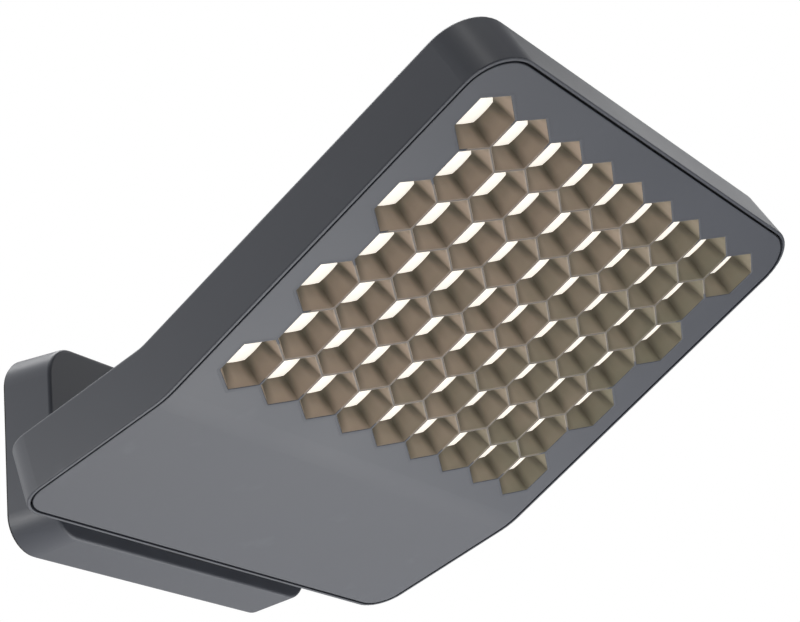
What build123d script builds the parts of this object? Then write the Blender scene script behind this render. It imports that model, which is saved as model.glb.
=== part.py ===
from build123d import *
import math
import os

# Outdoor wall light in millimetres: +Z up, the wall is the plane y = 0 and the light stands out towards -Y.
# A bent slab head with a honeycomb of lit cells tilts on a hinge in front of a rounded wall box.

# Clearances
RUNNING_FIT = 0.05  # shaft in a bore that turns on it, radial
THREAD_FIT = 0.05  # screw in its threaded hole, radial
HOLE_FIT = 0.2  # screw through a clear hole, radial
LOOSE_FIT = 0.3  # pieces that slip past one another
HINGE_PLAY = 0.1  # between the flat faces that slide in the hinge
OVERCUT = 1.0  # how far a cut runs past the face that it opens
EDGE_MATCH = 0.05  # how near to a depth an edge lies that counts as on it

# Honeycomb of cells
CELL_PITCH = 20.0
CELLS_ACROSS = 9  # cells in a full row; every second row has one less
CELL_ROWS = 7
CELL_WALL = 1.0  # between two cells at the mouth
CELL_THROAT = 15.2  # across flats at the lit end
LOUVRE_DEPTH = 9.0
LOUVRE_RECESS = 0.2  # louvre face behind the panel face
LOUVRE_FLANGE = 3.0  # reach of the flange behind the panel
LOUVRE_FLANGE_THICKNESS = 2.0
DIFFUSER_THICKNESS = 2.0
STACK_MARGIN = 2.5  # diffuser, frame and board past the louvre's outline
FRAME_WIDTH = 2.0  # spacer frame between diffuser and board

# Head
SIDE_MARGIN = 10.0  # end of a full row to the head's side
FRONT_MARGIN = 23.2  # front row's centres to the front edge
BEND_MARGIN = 22.1  # rear row's centres to the bend
INNER_LENGTH = 65.7  # bend to the rear edge
HEAD_THICKNESS = 20.8
FRONT_CORNER_RADIUS = 17.0
REAR_CORNER_RADIUS = 12.0
BEND_ANGLE = 12.2
BEND_RADIUS = 40.0  # at the panel face
OUTER_TILT = 28.1  # lit section above the horizontal, at rest
TOP_EDGE_RADIUS = 1.2
RIM_EDGE_RADIUS = 0.5
RIM_LIP = 1.1  # housing rim round the panel
SIDE_WALL = 4.0
TOP_WALL = 3.5
PANEL_GAP = 0.8
PANEL_THICKNESS = 2.5
PANEL_EDGE_RADIUS = 0.3
PANEL_GASKET_THICKNESS = 1.0
POST_RADIUS = 3.5  # panel posts that the panel screws enter
POST_INSET = 11.5  # post centres to the head's side
POST_FLOOR = 1.0  # closed end of a post's hole
TIP_ROOM = 1.0  # panel screw's tip to the end of its hole
REAR_POST_INSET = 15.7  # rear posts to the rear edge
VENT_ACROSS = 62.0
VENT_INSET = 15.7  # vent to the rear edge
VENT_RADIUS = 6.0
VENT_CAP_RADIUS = 8.5
VENT_CAP_HEIGHT = 3.5

# LED board and driver
BOARD_THICKNESS = 1.6
PAD_THICKNESS = 0.5
LED_SIZE = 3.0
LED_HEIGHT = 1.0
BOARD_SCREW_CELLS = 3  # cells between board screws across the head
BLIND_DEPTH = 2.0  # screws into the housing's top wall
BOARD_TAB_WIDTH = 24.0
BOARD_TAB_INSET = 1.5  # end of the board's tab to the bend
CONNECTOR_WIDTH = 10.0
CONNECTOR_LENGTH = 4.0
CONNECTOR_HEIGHT = 3.0
DRIVER_LENGTH = 150.0
DRIVER_HEIGHT = 11.5
DRIVER_CORNER_RADIUS = 2.0
DRIVER_CLEARANCE = 5.0  # driver to the notch wall
DRIVER_BEND_GAP = 5.2  # driver to the bend
DRIVER_EAR_LENGTH = 9.0
DRIVER_EAR_WIDTH = 16.0
DRIVER_EAR_THICKNESS = 1.5
WIRE_RADIUS = 0.8
WIRE_SPACING = 3.0

# Wall box
BOX_WIDTH = 140.0
BOX_HEIGHT = 70.5
BOX_DEPTH = 19.2
BOX_CORNER_RADIUS = 12.7
BOX_DRAFT = 4.2
BOX_WALL = 3.0
BOX_FRONT_WALL = 3.0
BOX_EDGE_RADIUS = 1.2
WALL_GASKET_THICKNESS = 1.0
WALL_GASKET_INSET = 0.5

# Wall plate
PLATE_THICKNESS = 2.0
PLATE_SIDE_CLEARANCE = 4.0
PLATE_CORNER_RADIUS = 6.0
TAB_THICKNESS = 2.0
TAB_WIDTH = 14.0
TAB_REACH = 12.0
TAB_INSET = 15.0  # upper tabs' middle to the plate's end
LOWER_TAB_WIDTH = 24.0
WALL_SLOT_SPACING = 60.0
WALL_SLOT_LENGTH = 12.0
WALL_SLOT_WIDTH = 5.5
ENTRY_HEIGHT = 12.0  # cable entry above the box centre and the wall slots
GROMMET_RADIUS = 8.0
GROMMET_FLANGE_RADIUS = 10.0
GROMMET_FLANGE_THICKNESS = 2.0
CABLE_RADIUS = 4.5  # bore of the cable entry
BOX_SCREW_LINE = 7.0  # box screws from the wall
BOX_SCREW_HEAD_HEIGHT = 1.4
EARTH_INSET = 21.0  # earth screw to the plate's end
EARTH_HEIGHT = -14.0
EARTH_LUG_RADIUS = 4.5
EARTH_LUG_THICKNESS = 0.8
EARTH_LUG_LENGTH = 12.0

# Terminal block
TERMINAL_INSET = 20.0  # block's middle to the plate's end
TERMINAL_LENGTH = 28.0
TERMINAL_HEIGHT = 18.0
TERMINAL_DEPTH = 12.0
TERMINAL_POLES = 3
POLE_PITCH = 5.5
INSERT_RADIUS = 2.1
INSERT_BORE_RADIUS = 1.4
TERMINAL_SCREW_RADIUS = 1.3
TERMINAL_SCREW_SPACING = 16.0
TERMINAL_SLOT_WIDTH = 0.6
TERMINAL_SLOT_DEPTH = 0.8

# Hinge
PIVOT_STANDOFF = 15.8  # pivot axis from the box front
PIVOT_RISE = 15.05  # pivot axis above the box's lower edge
PIVOT_FROM_REAR = 9.0  # pivot axis from the head's rear edge
PIVOT_DEPTH = 12.0  # pivot axis behind the panel face
NOTCH_LENGTH = 20.0
NOTCH_FLOOR = 5.5
NOTCH_WALL = 2.5
NOTCH_CLEARANCE = 3.0  # bolt head to the notch's side
ARM_WIDTH = 40.0
ARM_THICKNESS = 7.5
ARM_BARREL_RADIUS = 6.0
ARM_FLANGE_WIDTH = 56.0
ARM_FLANGE_HEIGHT = 18.0
ARM_FLANGE_THICKNESS = 3.0
ARM_FLANGE_CORNER_RADIUS = 3.0
ARM_SEAL_THICKNESS = 1.0
ARM_SCREW_ACROSS = 23.5
ARM_SCREW_OFFSET = 5.5  # arm screws above and below the pivot axis
ARM_SLOT_WIDTH = 9.0
ARM_SLOT_BACK = 7.0  # slot's end behind the pivot axis
YOKE_PLATE_THICKNESS = 3.0
YOKE_HEIGHT = 12.0
YOKE_SCREW_SPACING = 26.0
EAR_THICKNESS = 5.0
EAR_RADIUS = 6.2
FRICTION_WASHER_RADIUS = 6.0
FRICTION_WASHER_THICKNESS = 1.0
PIVOT_WASHER_RADIUS = 5.8
PIVOT_WASHER_THICKNESS = 1.0
BOLT_RADIUS = 3.0
BOLT_HEAD_RADIUS = 5.0
BOLT_HEAD_HEIGHT = 4.0
BOLT_GRIP = 12.0  # bolt inside the arm

# Lead from the terminal block through the hinge to the driver
LEAD_RADIUS = 2.5
LEAD_FIT = 0.3
LEAD_LINE = 9.5  # lead from the wall inside the box
LEAD_BEND_RADIUS = 7.0
LEAD_GROMMET_RADIUS = 3.6
LEAD_GROMMET_FLANGE_RADIUS = 4.5
LEAD_GROMMET_FLANGE_THICKNESS = 2.0

# Screws
M3_RADIUS = 1.5
M3_HEAD_RADIUS = 2.75
M3_HEAD_HEIGHT = 2.0
M4_RADIUS = 2.0
M4_HEAD_RADIUS = 3.5
M4_HEAD_HEIGHT = 2.6
SOCKET_SHARE = 0.9  # socket radius to shank radius
SOCKET_DEPTH = 1.0

# Sizes that follow from the ones above
BASE = (Align.CENTER, Align.CENTER, Align.MIN)
ROW_SPACING = CELL_PITCH * math.sqrt(3) / 2
CELL_MOUTH = CELL_PITCH - CELL_WALL
LOUVRE_OUTLINE = CELL_PITCH + CELL_WALL
STACK_OUTLINE = LOUVRE_OUTLINE + 2 * STACK_MARGIN
HEAD_WIDTH = CELLS_ACROSS * CELL_PITCH + 2 * SIDE_MARGIN
OUTER_LENGTH = FRONT_MARGIN + (CELL_ROWS - 1) * ROW_SPACING + BEND_MARGIN
PANEL_SEAT = PANEL_THICKNESS + PANEL_GASKET_THICKNESS
CEILING = HEAD_THICKNESS - TOP_WALL
BOARD_BACK = CEILING - PAD_THICKNESS
BOARD_FACE = BOARD_BACK - BOARD_THICKNESS
LOUVRE_BACK = LOUVRE_RECESS + LOUVRE_DEPTH
DIFFUSER_BACK = LOUVRE_BACK + DIFFUSER_THICKNESS
BOX_FRONT = WALL_GASKET_THICKNESS + BOX_DEPTH
BOX_INSIDE = BOX_FRONT - BOX_FRONT_WALL
SEAL_FRONT = BOX_FRONT + ARM_SEAL_THICKNESS
FLANGE_FRONT = SEAL_FRONT + ARM_FLANGE_THICKNESS
PIVOT_LINE = BOX_FRONT + PIVOT_STANDOFF
PIVOT_ALONG = INNER_LENGTH - PIVOT_FROM_REAR
NOTCH_FRONT = INNER_LENGTH - NOTCH_LENGTH
NOTCH_WALL_FRONT = NOTCH_FRONT - NOTCH_WALL
DRIVER_REAR = NOTCH_WALL_FRONT - DRIVER_CLEARANCE
DRIVER_WIDTH = DRIVER_REAR - DRIVER_BEND_GAP
EAR_INNER = ARM_WIDTH / 2 + FRICTION_WASHER_THICKNESS + HINGE_PLAY
EAR_OUTER = EAR_INNER + EAR_THICKNESS
BOLT_SEAT = EAR_OUTER + HINGE_PLAY + PIVOT_WASHER_THICKNESS
NOTCH_WIDTH = 2 * (BOLT_SEAT + BOLT_HEAD_HEIGHT + NOTCH_CLEARANCE)
PLATE_WIDTH = BOX_WIDTH - 2 * (BOX_WALL + PLATE_SIDE_CLEARANCE)
TAB_ACROSS = PLATE_WIDTH / 2 - TAB_INSET
EARTH_ACROSS = PLATE_WIDTH / 2 - EARTH_INSET
TERMINAL_ACROSS = TERMINAL_INSET - PLATE_WIDTH / 2
BOX_SLOPE = math.tan(math.radians(BOX_DRAFT))
PLATE_HEIGHT = BOX_HEIGHT - 2 * (BOX_WALL + TAB_REACH * BOX_SLOPE + LOOSE_FIT)
TERMINAL_FACE = PLATE_THICKNESS + TERMINAL_DEPTH
TERMINAL_SIDE = TERMINAL_ACROSS + TERMINAL_LENGTH / 2


def slope(angle):
    """Direction away from the wall, raised by an angle."""
    return Vector(0, -math.cos(math.radians(angle)), math.sin(math.radians(angle)))


def under(angle):
    """Direction that the underside faces when its slope is raised by an angle."""
    return Vector(0, -math.sin(math.radians(angle)), -math.cos(math.radians(angle)))


# Frames: across is +X, along runs up on the wall and from the bend towards the wall on the head,
# and depth runs out from the wall or up into the head from its panel face.
OUTER_DIR = slope(OUTER_TILT)
OUTER_OUT = under(OUTER_TILT)
INNER_DIR = slope(OUTER_TILT - BEND_ANGLE)
INNER_OUT = under(OUTER_TILT - BEND_ANGLE)
PIVOT = Vector(0, -PIVOT_LINE, PIVOT_RISE - BOX_HEIGHT / 2)
BEND = PIVOT + INNER_DIR * PIVOT_ALONG + INNER_OUT * PIVOT_DEPTH
BEND_TANGENT = BEND_RADIUS * math.tan(math.radians(BEND_ANGLE / 2))
BEND_CENTRE = BEND + OUTER_DIR * BEND_TANGENT - OUTER_OUT * BEND_RADIUS
WALL = Plane(origin=(0, 0, 0), x_dir=(1, 0, 0), z_dir=(0, -1, 0))
OUTER = Plane(origin=BEND, x_dir=(1, 0, 0), z_dir=OUTER_OUT * -1)
INNER = Plane(origin=BEND, x_dir=(1, 0, 0), z_dir=INNER_OUT * -1)


def rod(frame, across, along, radius, start, end):
    """Cylinder along a frame's depth, from one depth to another."""
    return frame.location * Pos(across, along, start) * Cylinder(radius, end - start, align=BASE)


def block(frame, across, along, width, length, start, end):
    """Box in a frame, from one depth to another."""
    return frame.location * Pos(across, along, start) * Box(width, length, end - start, align=BASE)


def sheet(frame, sketch, start, end):
    """Sketch in a frame made solid from one depth to another."""
    return frame.location * Pos(0, 0, start) * extrude(sketch, amount=end - start)


def lengthwise_rod(frame, across, depth, radius, start, end):
    """Cylinder that runs along a frame."""
    upright = Cylinder(radius, end - start, align=BASE)
    return frame.location * Pos(across, start, depth) * Rot(-90, 0, 0) * upright


def pivot_rod(radius, start, end):
    """Cylinder on the pivot axis, from one place across to another."""
    return Pos(start, PIVOT.Y, PIVOT.Z) * Rot(0, 90, 0) * Cylinder(radius, end - start, align=BASE)


def both_sides(solid):
    """A solid and its mirror image on the other side of the light."""
    return [solid, mirror(solid, about=Plane.YZ)]


def screw(radius, head_radius, head_height, length):
    """Socket screw on Z: its head stands on z = 0 and its shank runs down."""
    head = Cylinder(head_radius, head_height, align=BASE)
    shank = Pos(0, 0, -length) * Cylinder(radius, length, align=BASE)
    socket = extrude(RegularPolygon(radius * SOCKET_SHARE, 6), amount=SOCKET_DEPTH + OVERCUT)
    return head + shank - Pos(0, 0, head_height - SOCKET_DEPTH) * socket


def wire_between(start, end, radius, gap):
    """Straight wire between two points, short of each by a gap."""
    reach = end - start
    direction = reach.normalized()
    section = Plane(origin=start + direction * gap, z_dir=direction) * Circle(radius)
    return extrude(section, amount=reach.length - 2 * gap, dir=direction)


# The bent slab that the head's shells are cut from

def bend_point(out, depth):
    """Point on the bend's arc at a depth, in a direction from the bend's centre."""
    return BEND_CENTRE + out * (BEND_RADIUS - depth)


def bent_slab(start, end, inset):
    """Bent plate between two depths behind the panel face, drawn in from the head's outline."""
    front = BEND + OUTER_DIR * (OUTER_LENGTH - inset)
    rear = BEND - INNER_DIR * (INNER_LENGTH - inset)
    middle = (OUTER_OUT + INNER_OUT).normalized()
    front_near, front_far = (front - OUTER_OUT * depth for depth in (start, end))
    rear_near, rear_far = (rear - INNER_OUT * depth for depth in (start, end))
    outer_near, middle_near, inner_near = (bend_point(out, start) for out in (OUTER_OUT, middle, INNER_OUT))
    outer_far, middle_far, inner_far = (bend_point(out, end) for out in (OUTER_OUT, middle, INNER_OUT))
    outline = [
        Line(front_near, outer_near),
        ThreePointArc(outer_near, middle_near, inner_near),
        Line(inner_near, rear_near),
        Line(rear_near, rear_far),
        Line(rear_far, inner_far),
        ThreePointArc(inner_far, middle_far, outer_far),
        Line(outer_far, front_far),
        Line(front_far, front_near),
    ]
    side = make_face(outline)
    slab = extrude(side, amount=HEAD_WIDTH / 2 - inset, dir=(1, 0, 0), both=True)
    front_corners = slab.edges().filter_by(Axis((0, 0, 0), OUTER_OUT))
    slab = fillet(front_corners, FRONT_CORNER_RADIUS - inset)
    rear_corners = slab.edges().filter_by(Axis((0, 0, 0), INNER_OUT))
    return fillet(rear_corners, REAR_CORNER_RADIUS - inset)


def depth_of(point):
    """Depth of a point behind the bent panel face."""
    reach = Vector(0, point.Y, point.Z) - BEND_CENTRE
    if reach.dot(OUTER_DIR) > 0:
        return BEND_RADIUS - reach.dot(OUTER_OUT)
    if reach.dot(INNER_DIR) < 0:
        return BEND_RADIUS - reach.dot(INNER_OUT)
    return BEND_RADIUS - reach.length


def edges_at(shape, depth):
    """Edges of a bent slab that lie at one depth."""
    near = [abs(depth_of(edge @ 0.5) - depth) + abs(depth_of(edge @ 0) - depth) for edge in shape.edges()]
    return [edge for edge, error in zip(shape.edges(), near) if error < EDGE_MATCH]


# The honeycomb's layout

def row_along(row):
    """Place along the head of a row's centres, counted from the front."""
    return -(OUTER_LENGTH - FRONT_MARGIN - row * ROW_SPACING)


def cell_centres():
    """Across and along of every cell."""
    centres = []
    for row in range(CELL_ROWS):
        count = CELLS_ACROSS - row % 2
        for cell in range(count):
            centres.append(((cell - (count - 1) / 2) * CELL_PITCH, row_along(row)))
    return centres


def hexagon(across_flats):
    """Hexagon with a corner towards the front."""
    return RegularPolygon(across_flats / 2, 6, major_radius=False, rotation=30)


def honeycomb(across_flats):
    """Outline of all the cells together, each a hexagon of the given size."""
    cell = hexagon(across_flats)
    return Sketch() + [Pos(across, along) * cell for across, along in cell_centres()]


def short_rows():
    """Rows with one cell less, which leave room beside them for a post."""
    return range(1, CELL_ROWS, 2)


def post_places():
    """Frame, across and along of the posts that hold the panel."""
    across = HEAD_WIDTH / 2 - POST_INSET
    rows = [(OUTER, side * across, row_along(row)) for row in short_rows() for side in (-1, 1)]
    rear = [(INNER, side * across, INNER_LENGTH - REAR_POST_INSET) for side in (-1, 1)]
    return rows + rear


def board_screw_places():
    """Across and along of the screws between the LEDs of the first and the last short row."""
    step = BOARD_SCREW_CELLS * CELL_PITCH
    rows = (short_rows()[0], short_rows()[-1])
    return [(place * step, row_along(row)) for row in rows for place in (-1, 0, 1)]


def driver_middle():
    """Place along the inner section of the driver's centre line."""
    return DRIVER_REAR - DRIVER_WIDTH / 2


def driver_screw_across():
    """Place across of the driver's screws."""
    return (DRIVER_LENGTH + DRIVER_EAR_LENGTH) / 2


def arm_screw_places():
    """Across and height of the screws that hold the hinge arm on the box."""
    heights = (PIVOT.Z - ARM_SCREW_OFFSET, PIVOT.Z + ARM_SCREW_OFFSET)
    return [(side * ARM_SCREW_ACROSS, height) for side in (-1, 1) for height in heights]


# Head: shells and seal

def notch(margin, floor):
    """Room at the head's rear that the hinge arm enters, widened by a margin."""
    front = NOTCH_FRONT - margin
    length = INNER_LENGTH + OVERCUT - front
    width = NOTCH_WIDTH + 2 * margin
    return block(INNER, 0, front + length / 2, width, length, floor, HEAD_THICKNESS + OVERCUT)


def head_housing():
    shell = bent_slab(0, HEAD_THICKNESS, 0)
    shell = fillet(edges_at(shell, HEAD_THICKNESS), TOP_EDGE_RADIUS)
    shell = fillet(edges_at(shell, 0), RIM_EDGE_RADIUS)
    panel_room = bent_slab(-OVERCUT, PANEL_SEAT, RIM_LIP)
    inside = bent_slab(-OVERCUT, CEILING, SIDE_WALL) - notch(NOTCH_WALL, PANEL_SEAT)
    cuts = [notch(0, NOTCH_FLOOR)]
    for frame, across, along in post_places():
        cuts.append(rod(frame, across, along, M3_RADIUS + HOLE_FIT, CEILING - OVERCUT, HEAD_THICKNESS))
        sunk = HEAD_THICKNESS - M3_HEAD_HEIGHT
        cuts.append(rod(frame, across, along, M3_HEAD_RADIUS + HOLE_FIT, sunk, HEAD_THICKNESS + OVERCUT))
    blind = CEILING + BLIND_DEPTH + LOOSE_FIT
    for across, along in board_screw_places():
        cuts.append(rod(OUTER, across, along, M3_RADIUS + THREAD_FIT, CEILING - OVERCUT, blind))
    cuts += both_sides(rod(INNER, driver_screw_across(), driver_middle(), M3_RADIUS + THREAD_FIT,
                           CEILING - OVERCUT, blind))
    cuts += both_sides(lengthwise_rod(INNER, YOKE_SCREW_SPACING / 2, PIVOT_DEPTH, M4_RADIUS + HOLE_FIT,
                                      NOTCH_WALL_FRONT - OVERCUT, NOTCH_FRONT + OVERCUT))
    cuts.append(lengthwise_rod(INNER, 0, PIVOT_DEPTH, LEAD_GROMMET_RADIUS + RUNNING_FIT,
                               NOTCH_WALL_FRONT - OVERCUT, NOTCH_FRONT + OVERCUT))
    cuts.append(rod(INNER, VENT_ACROSS, INNER_LENGTH - VENT_INSET, VENT_RADIUS + THREAD_FIT,
                    CEILING - OVERCUT, HEAD_THICKNESS + OVERCUT))
    return shell - panel_room - inside - cuts


def front_panel():
    plate = bent_slab(0, PANEL_THICKNESS, RIM_LIP + PANEL_GAP)
    plate = fillet(edges_at(plate, 0), PANEL_EDGE_RADIUS)
    opening = sheet(OUTER, honeycomb(LOUVRE_OUTLINE + 2 * LOOSE_FIT), -OVERCUT, PANEL_THICKNESS + OVERCUT)
    posts = [rod(*place, POST_RADIUS, PANEL_THICKNESS, CEILING) for place in post_places()]
    hole_end = PANEL_THICKNESS + POST_FLOOR
    holes = [rod(*place, M3_RADIUS + THREAD_FIT, hole_end, CEILING + OVERCUT) for place in post_places()]
    return plate - opening + posts - holes


def panel_gasket():
    outside = bent_slab(PANEL_THICKNESS, PANEL_SEAT, RIM_LIP + LOOSE_FIT)
    return outside - bent_slab(PANEL_THICKNESS - OVERCUT, PANEL_SEAT + OVERCUT, SIDE_WALL)


def panel_screws():
    seat = HEAD_THICKNESS - M3_HEAD_HEIGHT
    one = screw(M3_RADIUS, M3_HEAD_RADIUS, M3_HEAD_HEIGHT, seat - PANEL_THICKNESS - POST_FLOOR - TIP_ROOM)
    return [frame.location * Pos(across, along, seat) * one for frame, across, along in post_places()]


def breather_vent():
    along = INNER_LENGTH - VENT_INSET
    thread = rod(INNER, VENT_ACROSS, along, VENT_RADIUS, CEILING, HEAD_THICKNESS)
    cap = Cylinder(VENT_CAP_RADIUS, VENT_CAP_HEIGHT, align=BASE)
    cap = fillet(cap.edges().group_by(Axis.Z)[-1], TOP_EDGE_RADIUS)
    return thread + INNER.location * Pos(VENT_ACROSS, along, HEAD_THICKNESS) * cap


# Head: honeycomb, light and driver

def cell_mouth():
    """Tapered room of one cell, cut past both its ends."""
    growth = (CELL_MOUTH - CELL_THROAT) / LOUVRE_DEPTH
    near = Pos(0, 0, -OVERCUT) * hexagon(CELL_MOUTH + growth * OVERCUT)
    far = Pos(0, 0, LOUVRE_DEPTH + OVERCUT) * hexagon(CELL_THROAT - growth * OVERCUT)
    return loft([near, far])


def honeycomb_louvre():
    body = sheet(OUTER, honeycomb(LOUVRE_OUTLINE), LOUVRE_RECESS, LOUVRE_BACK)
    flange_start = PANEL_THICKNESS + LOOSE_FIT
    flange = sheet(OUTER, honeycomb(LOUVRE_OUTLINE + 2 * LOUVRE_FLANGE), flange_start,
                   flange_start + LOUVRE_FLANGE_THICKNESS)
    room = cell_mouth()
    cells = [OUTER.location * Pos(across, along, LOUVRE_RECESS) * room for across, along in cell_centres()]
    return body + flange - cells


def diffuser():
    return sheet(OUTER, honeycomb(STACK_OUTLINE), LOUVRE_BACK, DIFFUSER_BACK)


def spacer_frame():
    outline = honeycomb(STACK_OUTLINE) - honeycomb(STACK_OUTLINE - 2 * FRAME_WIDTH)
    return sheet(OUTER, outline, DIFFUSER_BACK, BOARD_FACE)


def board_outline():
    """LED board's outline: the honeycomb and a tab towards the bend for the connector."""
    tab_front = row_along(CELL_ROWS - 1)
    tab_length = -BOARD_TAB_INSET - tab_front
    tab = Pos(0, tab_front + tab_length / 2) * Rectangle(BOARD_TAB_WIDTH, tab_length)
    return honeycomb(STACK_OUTLINE) + tab


def led_board():
    holes = [rod(OUTER, *place, M3_RADIUS + HOLE_FIT, BOARD_FACE - OVERCUT, BOARD_BACK + OVERCUT)
             for place in board_screw_places()]
    return sheet(OUTER, board_outline(), BOARD_FACE, BOARD_BACK) - holes


def thermal_pad():
    holes = [rod(OUTER, *place, M3_RADIUS + HOLE_FIT, BOARD_BACK - OVERCUT, CEILING + OVERCUT)
             for place in board_screw_places()]
    return sheet(OUTER, board_outline(), BOARD_BACK, CEILING) - holes


def leds():
    return [block(OUTER, across, along, LED_SIZE, LED_SIZE, BOARD_FACE - LED_HEIGHT, BOARD_FACE)
            for across, along in cell_centres()]


def board_screws():
    length = BOARD_THICKNESS + PAD_THICKNESS + BLIND_DEPTH
    one = Rot(180, 0, 0) * screw(M3_RADIUS, M3_HEAD_RADIUS, M3_HEAD_HEIGHT, length)
    return [OUTER.location * Pos(across, along, BOARD_FACE) * one for across, along in board_screw_places()]


def led_connector():
    along = -BOARD_TAB_INSET - LOOSE_FIT - CONNECTOR_LENGTH / 2
    top = BOARD_FACE - CONNECTOR_HEIGHT
    return block(OUTER, 0, along, CONNECTOR_WIDTH, CONNECTOR_LENGTH, top, BOARD_FACE)


def led_driver():
    outline = RectangleRounded(DRIVER_LENGTH, DRIVER_WIDTH, DRIVER_CORNER_RADIUS)
    case = sheet(INNER, Pos(0, driver_middle()) * outline, CEILING - DRIVER_HEIGHT, CEILING)
    reach = driver_screw_across()
    ear_face = CEILING - DRIVER_EAR_THICKNESS
    ear = block(INNER, reach, driver_middle(), DRIVER_EAR_LENGTH, DRIVER_EAR_WIDTH, ear_face, CEILING)
    ear -= rod(INNER, reach, driver_middle(), M3_RADIUS + HOLE_FIT, ear_face - OVERCUT, CEILING + OVERCUT)
    return case + both_sides(ear)


def driver_screws():
    length = DRIVER_EAR_THICKNESS + BLIND_DEPTH
    one = Rot(180, 0, 0) * screw(M3_RADIUS, M3_HEAD_RADIUS, M3_HEAD_HEIGHT, length)
    place = Pos(driver_screw_across(), driver_middle(), CEILING - DRIVER_EAR_THICKNESS)
    return both_sides(INNER.location * place * one)


def led_leads():
    """Two wires from the driver's front to the LED board's connector."""
    wires = []
    for side in (-1, 1):
        across = side * WIRE_SPACING / 2
        depth = BOARD_FACE - CONNECTOR_HEIGHT / 2
        at_driver = INNER.from_local_coords((across, DRIVER_BEND_GAP, depth))
        at_board = OUTER.from_local_coords((across, -BOARD_TAB_INSET - LOOSE_FIT, depth))
        wires.append(wire_between(Vector(at_driver), Vector(at_board), WIRE_RADIUS, LEAD_FIT))
    return wires


def head_lead():
    """Lead from the pivot axis to the driver, with a round end that turns in the arm's slot."""
    lead = lengthwise_rod(INNER, 0, PIVOT_DEPTH, LEAD_RADIUS, DRIVER_REAR, PIVOT_ALONG)
    return lead + INNER.location * Pos(0, PIVOT_ALONG, PIVOT_DEPTH) * Sphere(LEAD_RADIUS)


def lead_grommet():
    neck = lengthwise_rod(INNER, 0, PIVOT_DEPTH, LEAD_GROMMET_RADIUS, NOTCH_WALL_FRONT,
                          NOTCH_FRONT + YOKE_PLATE_THICKNESS)
    flange = lengthwise_rod(INNER, 0, PIVOT_DEPTH, LEAD_GROMMET_FLANGE_RADIUS,
                            NOTCH_WALL_FRONT - LEAD_GROMMET_FLANGE_THICKNESS, NOTCH_WALL_FRONT)
    bore = lengthwise_rod(INNER, 0, PIVOT_DEPTH, LEAD_RADIUS + RUNNING_FIT, DRIVER_REAR, PIVOT_ALONG)
    return neck + flange - bore


# Hinge

def hinge_yoke():
    """Forked bracket in the head's notch that turns on the pivot bolts."""
    plate_back = NOTCH_FRONT + YOKE_PLATE_THICKNESS
    low, high = PIVOT_DEPTH - YOKE_HEIGHT / 2, PIVOT_DEPTH + YOKE_HEIGHT / 2
    yoke = block(INNER, 0, NOTCH_FRONT + YOKE_PLATE_THICKNESS / 2, 2 * EAR_OUTER, YOKE_PLATE_THICKNESS,
                 low, high)
    ear_middle = (EAR_INNER + EAR_OUTER) / 2
    arm_length = PIVOT_ALONG - plate_back
    ear = block(INNER, ear_middle, plate_back + arm_length / 2, EAR_THICKNESS, arm_length, low, high)
    ear += pivot_rod(EAR_RADIUS, EAR_INNER, EAR_OUTER)
    ear -= pivot_rod(BOLT_RADIUS + RUNNING_FIT, EAR_INNER - OVERCUT, EAR_OUTER + OVERCUT)
    yoke += both_sides(ear)
    screw_hole = lengthwise_rod(INNER, YOKE_SCREW_SPACING / 2, PIVOT_DEPTH, M4_RADIUS + THREAD_FIT,
                                NOTCH_FRONT - OVERCUT, plate_back + OVERCUT)
    lead_hole = lengthwise_rod(INNER, 0, PIVOT_DEPTH, LEAD_GROMMET_RADIUS + RUNNING_FIT,
                               NOTCH_FRONT - OVERCUT, plate_back + OVERCUT)
    return yoke - both_sides(screw_hole) - lead_hole


def yoke_screws():
    one = Rot(90, 0, 0) * screw(M4_RADIUS, M4_HEAD_RADIUS, M4_HEAD_HEIGHT, NOTCH_WALL + YOKE_PLATE_THICKNESS)
    return both_sides(INNER.location * Pos(YOKE_SCREW_SPACING / 2, NOTCH_WALL_FRONT, PIVOT_DEPTH) * one)


def flange_outline():
    """Outline of the hinge arm's flange and of the seal behind it."""
    outline = RectangleRounded(ARM_FLANGE_WIDTH, ARM_FLANGE_HEIGHT, ARM_FLANGE_CORNER_RADIUS)
    return Pos(0, PIVOT.Z) * outline


def hinge_arm():
    """Bracket on the wall box whose barrel takes the pivot bolts and whose duct takes the lead."""
    arm = sheet(WALL, flange_outline(), SEAL_FRONT, FLANGE_FRONT)
    arm += block(WALL, 0, PIVOT.Z, ARM_WIDTH, ARM_THICKNESS, SEAL_FRONT, PIVOT_LINE)
    arm += pivot_rod(ARM_BARREL_RADIUS, -ARM_WIDTH / 2, ARM_WIDTH / 2)
    slot_height = 2 * (ARM_BARREL_RADIUS + OVERCUT)
    slot = block(WALL, 0, PIVOT.Z, ARM_SLOT_WIDTH, slot_height, PIVOT_LINE - ARM_SLOT_BACK,
                 PIVOT_LINE + ARM_BARREL_RADIUS + OVERCUT)
    duct = rod(WALL, 0, PIVOT.Z, LEAD_RADIUS + LEAD_FIT, SEAL_FRONT - OVERCUT, PIVOT_LINE)
    holes = [rod(WALL, *place, M4_RADIUS + THREAD_FIT, SEAL_FRONT - OVERCUT, FLANGE_FRONT + OVERCUT)
             for place in arm_screw_places()]
    bolt_end = ARM_WIDTH / 2 - BOLT_GRIP
    bolt_hole = pivot_rod(BOLT_RADIUS + THREAD_FIT, bolt_end - LOOSE_FIT, ARM_WIDTH / 2 + OVERCUT)
    return arm - slot - duct - holes - both_sides(bolt_hole)


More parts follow.
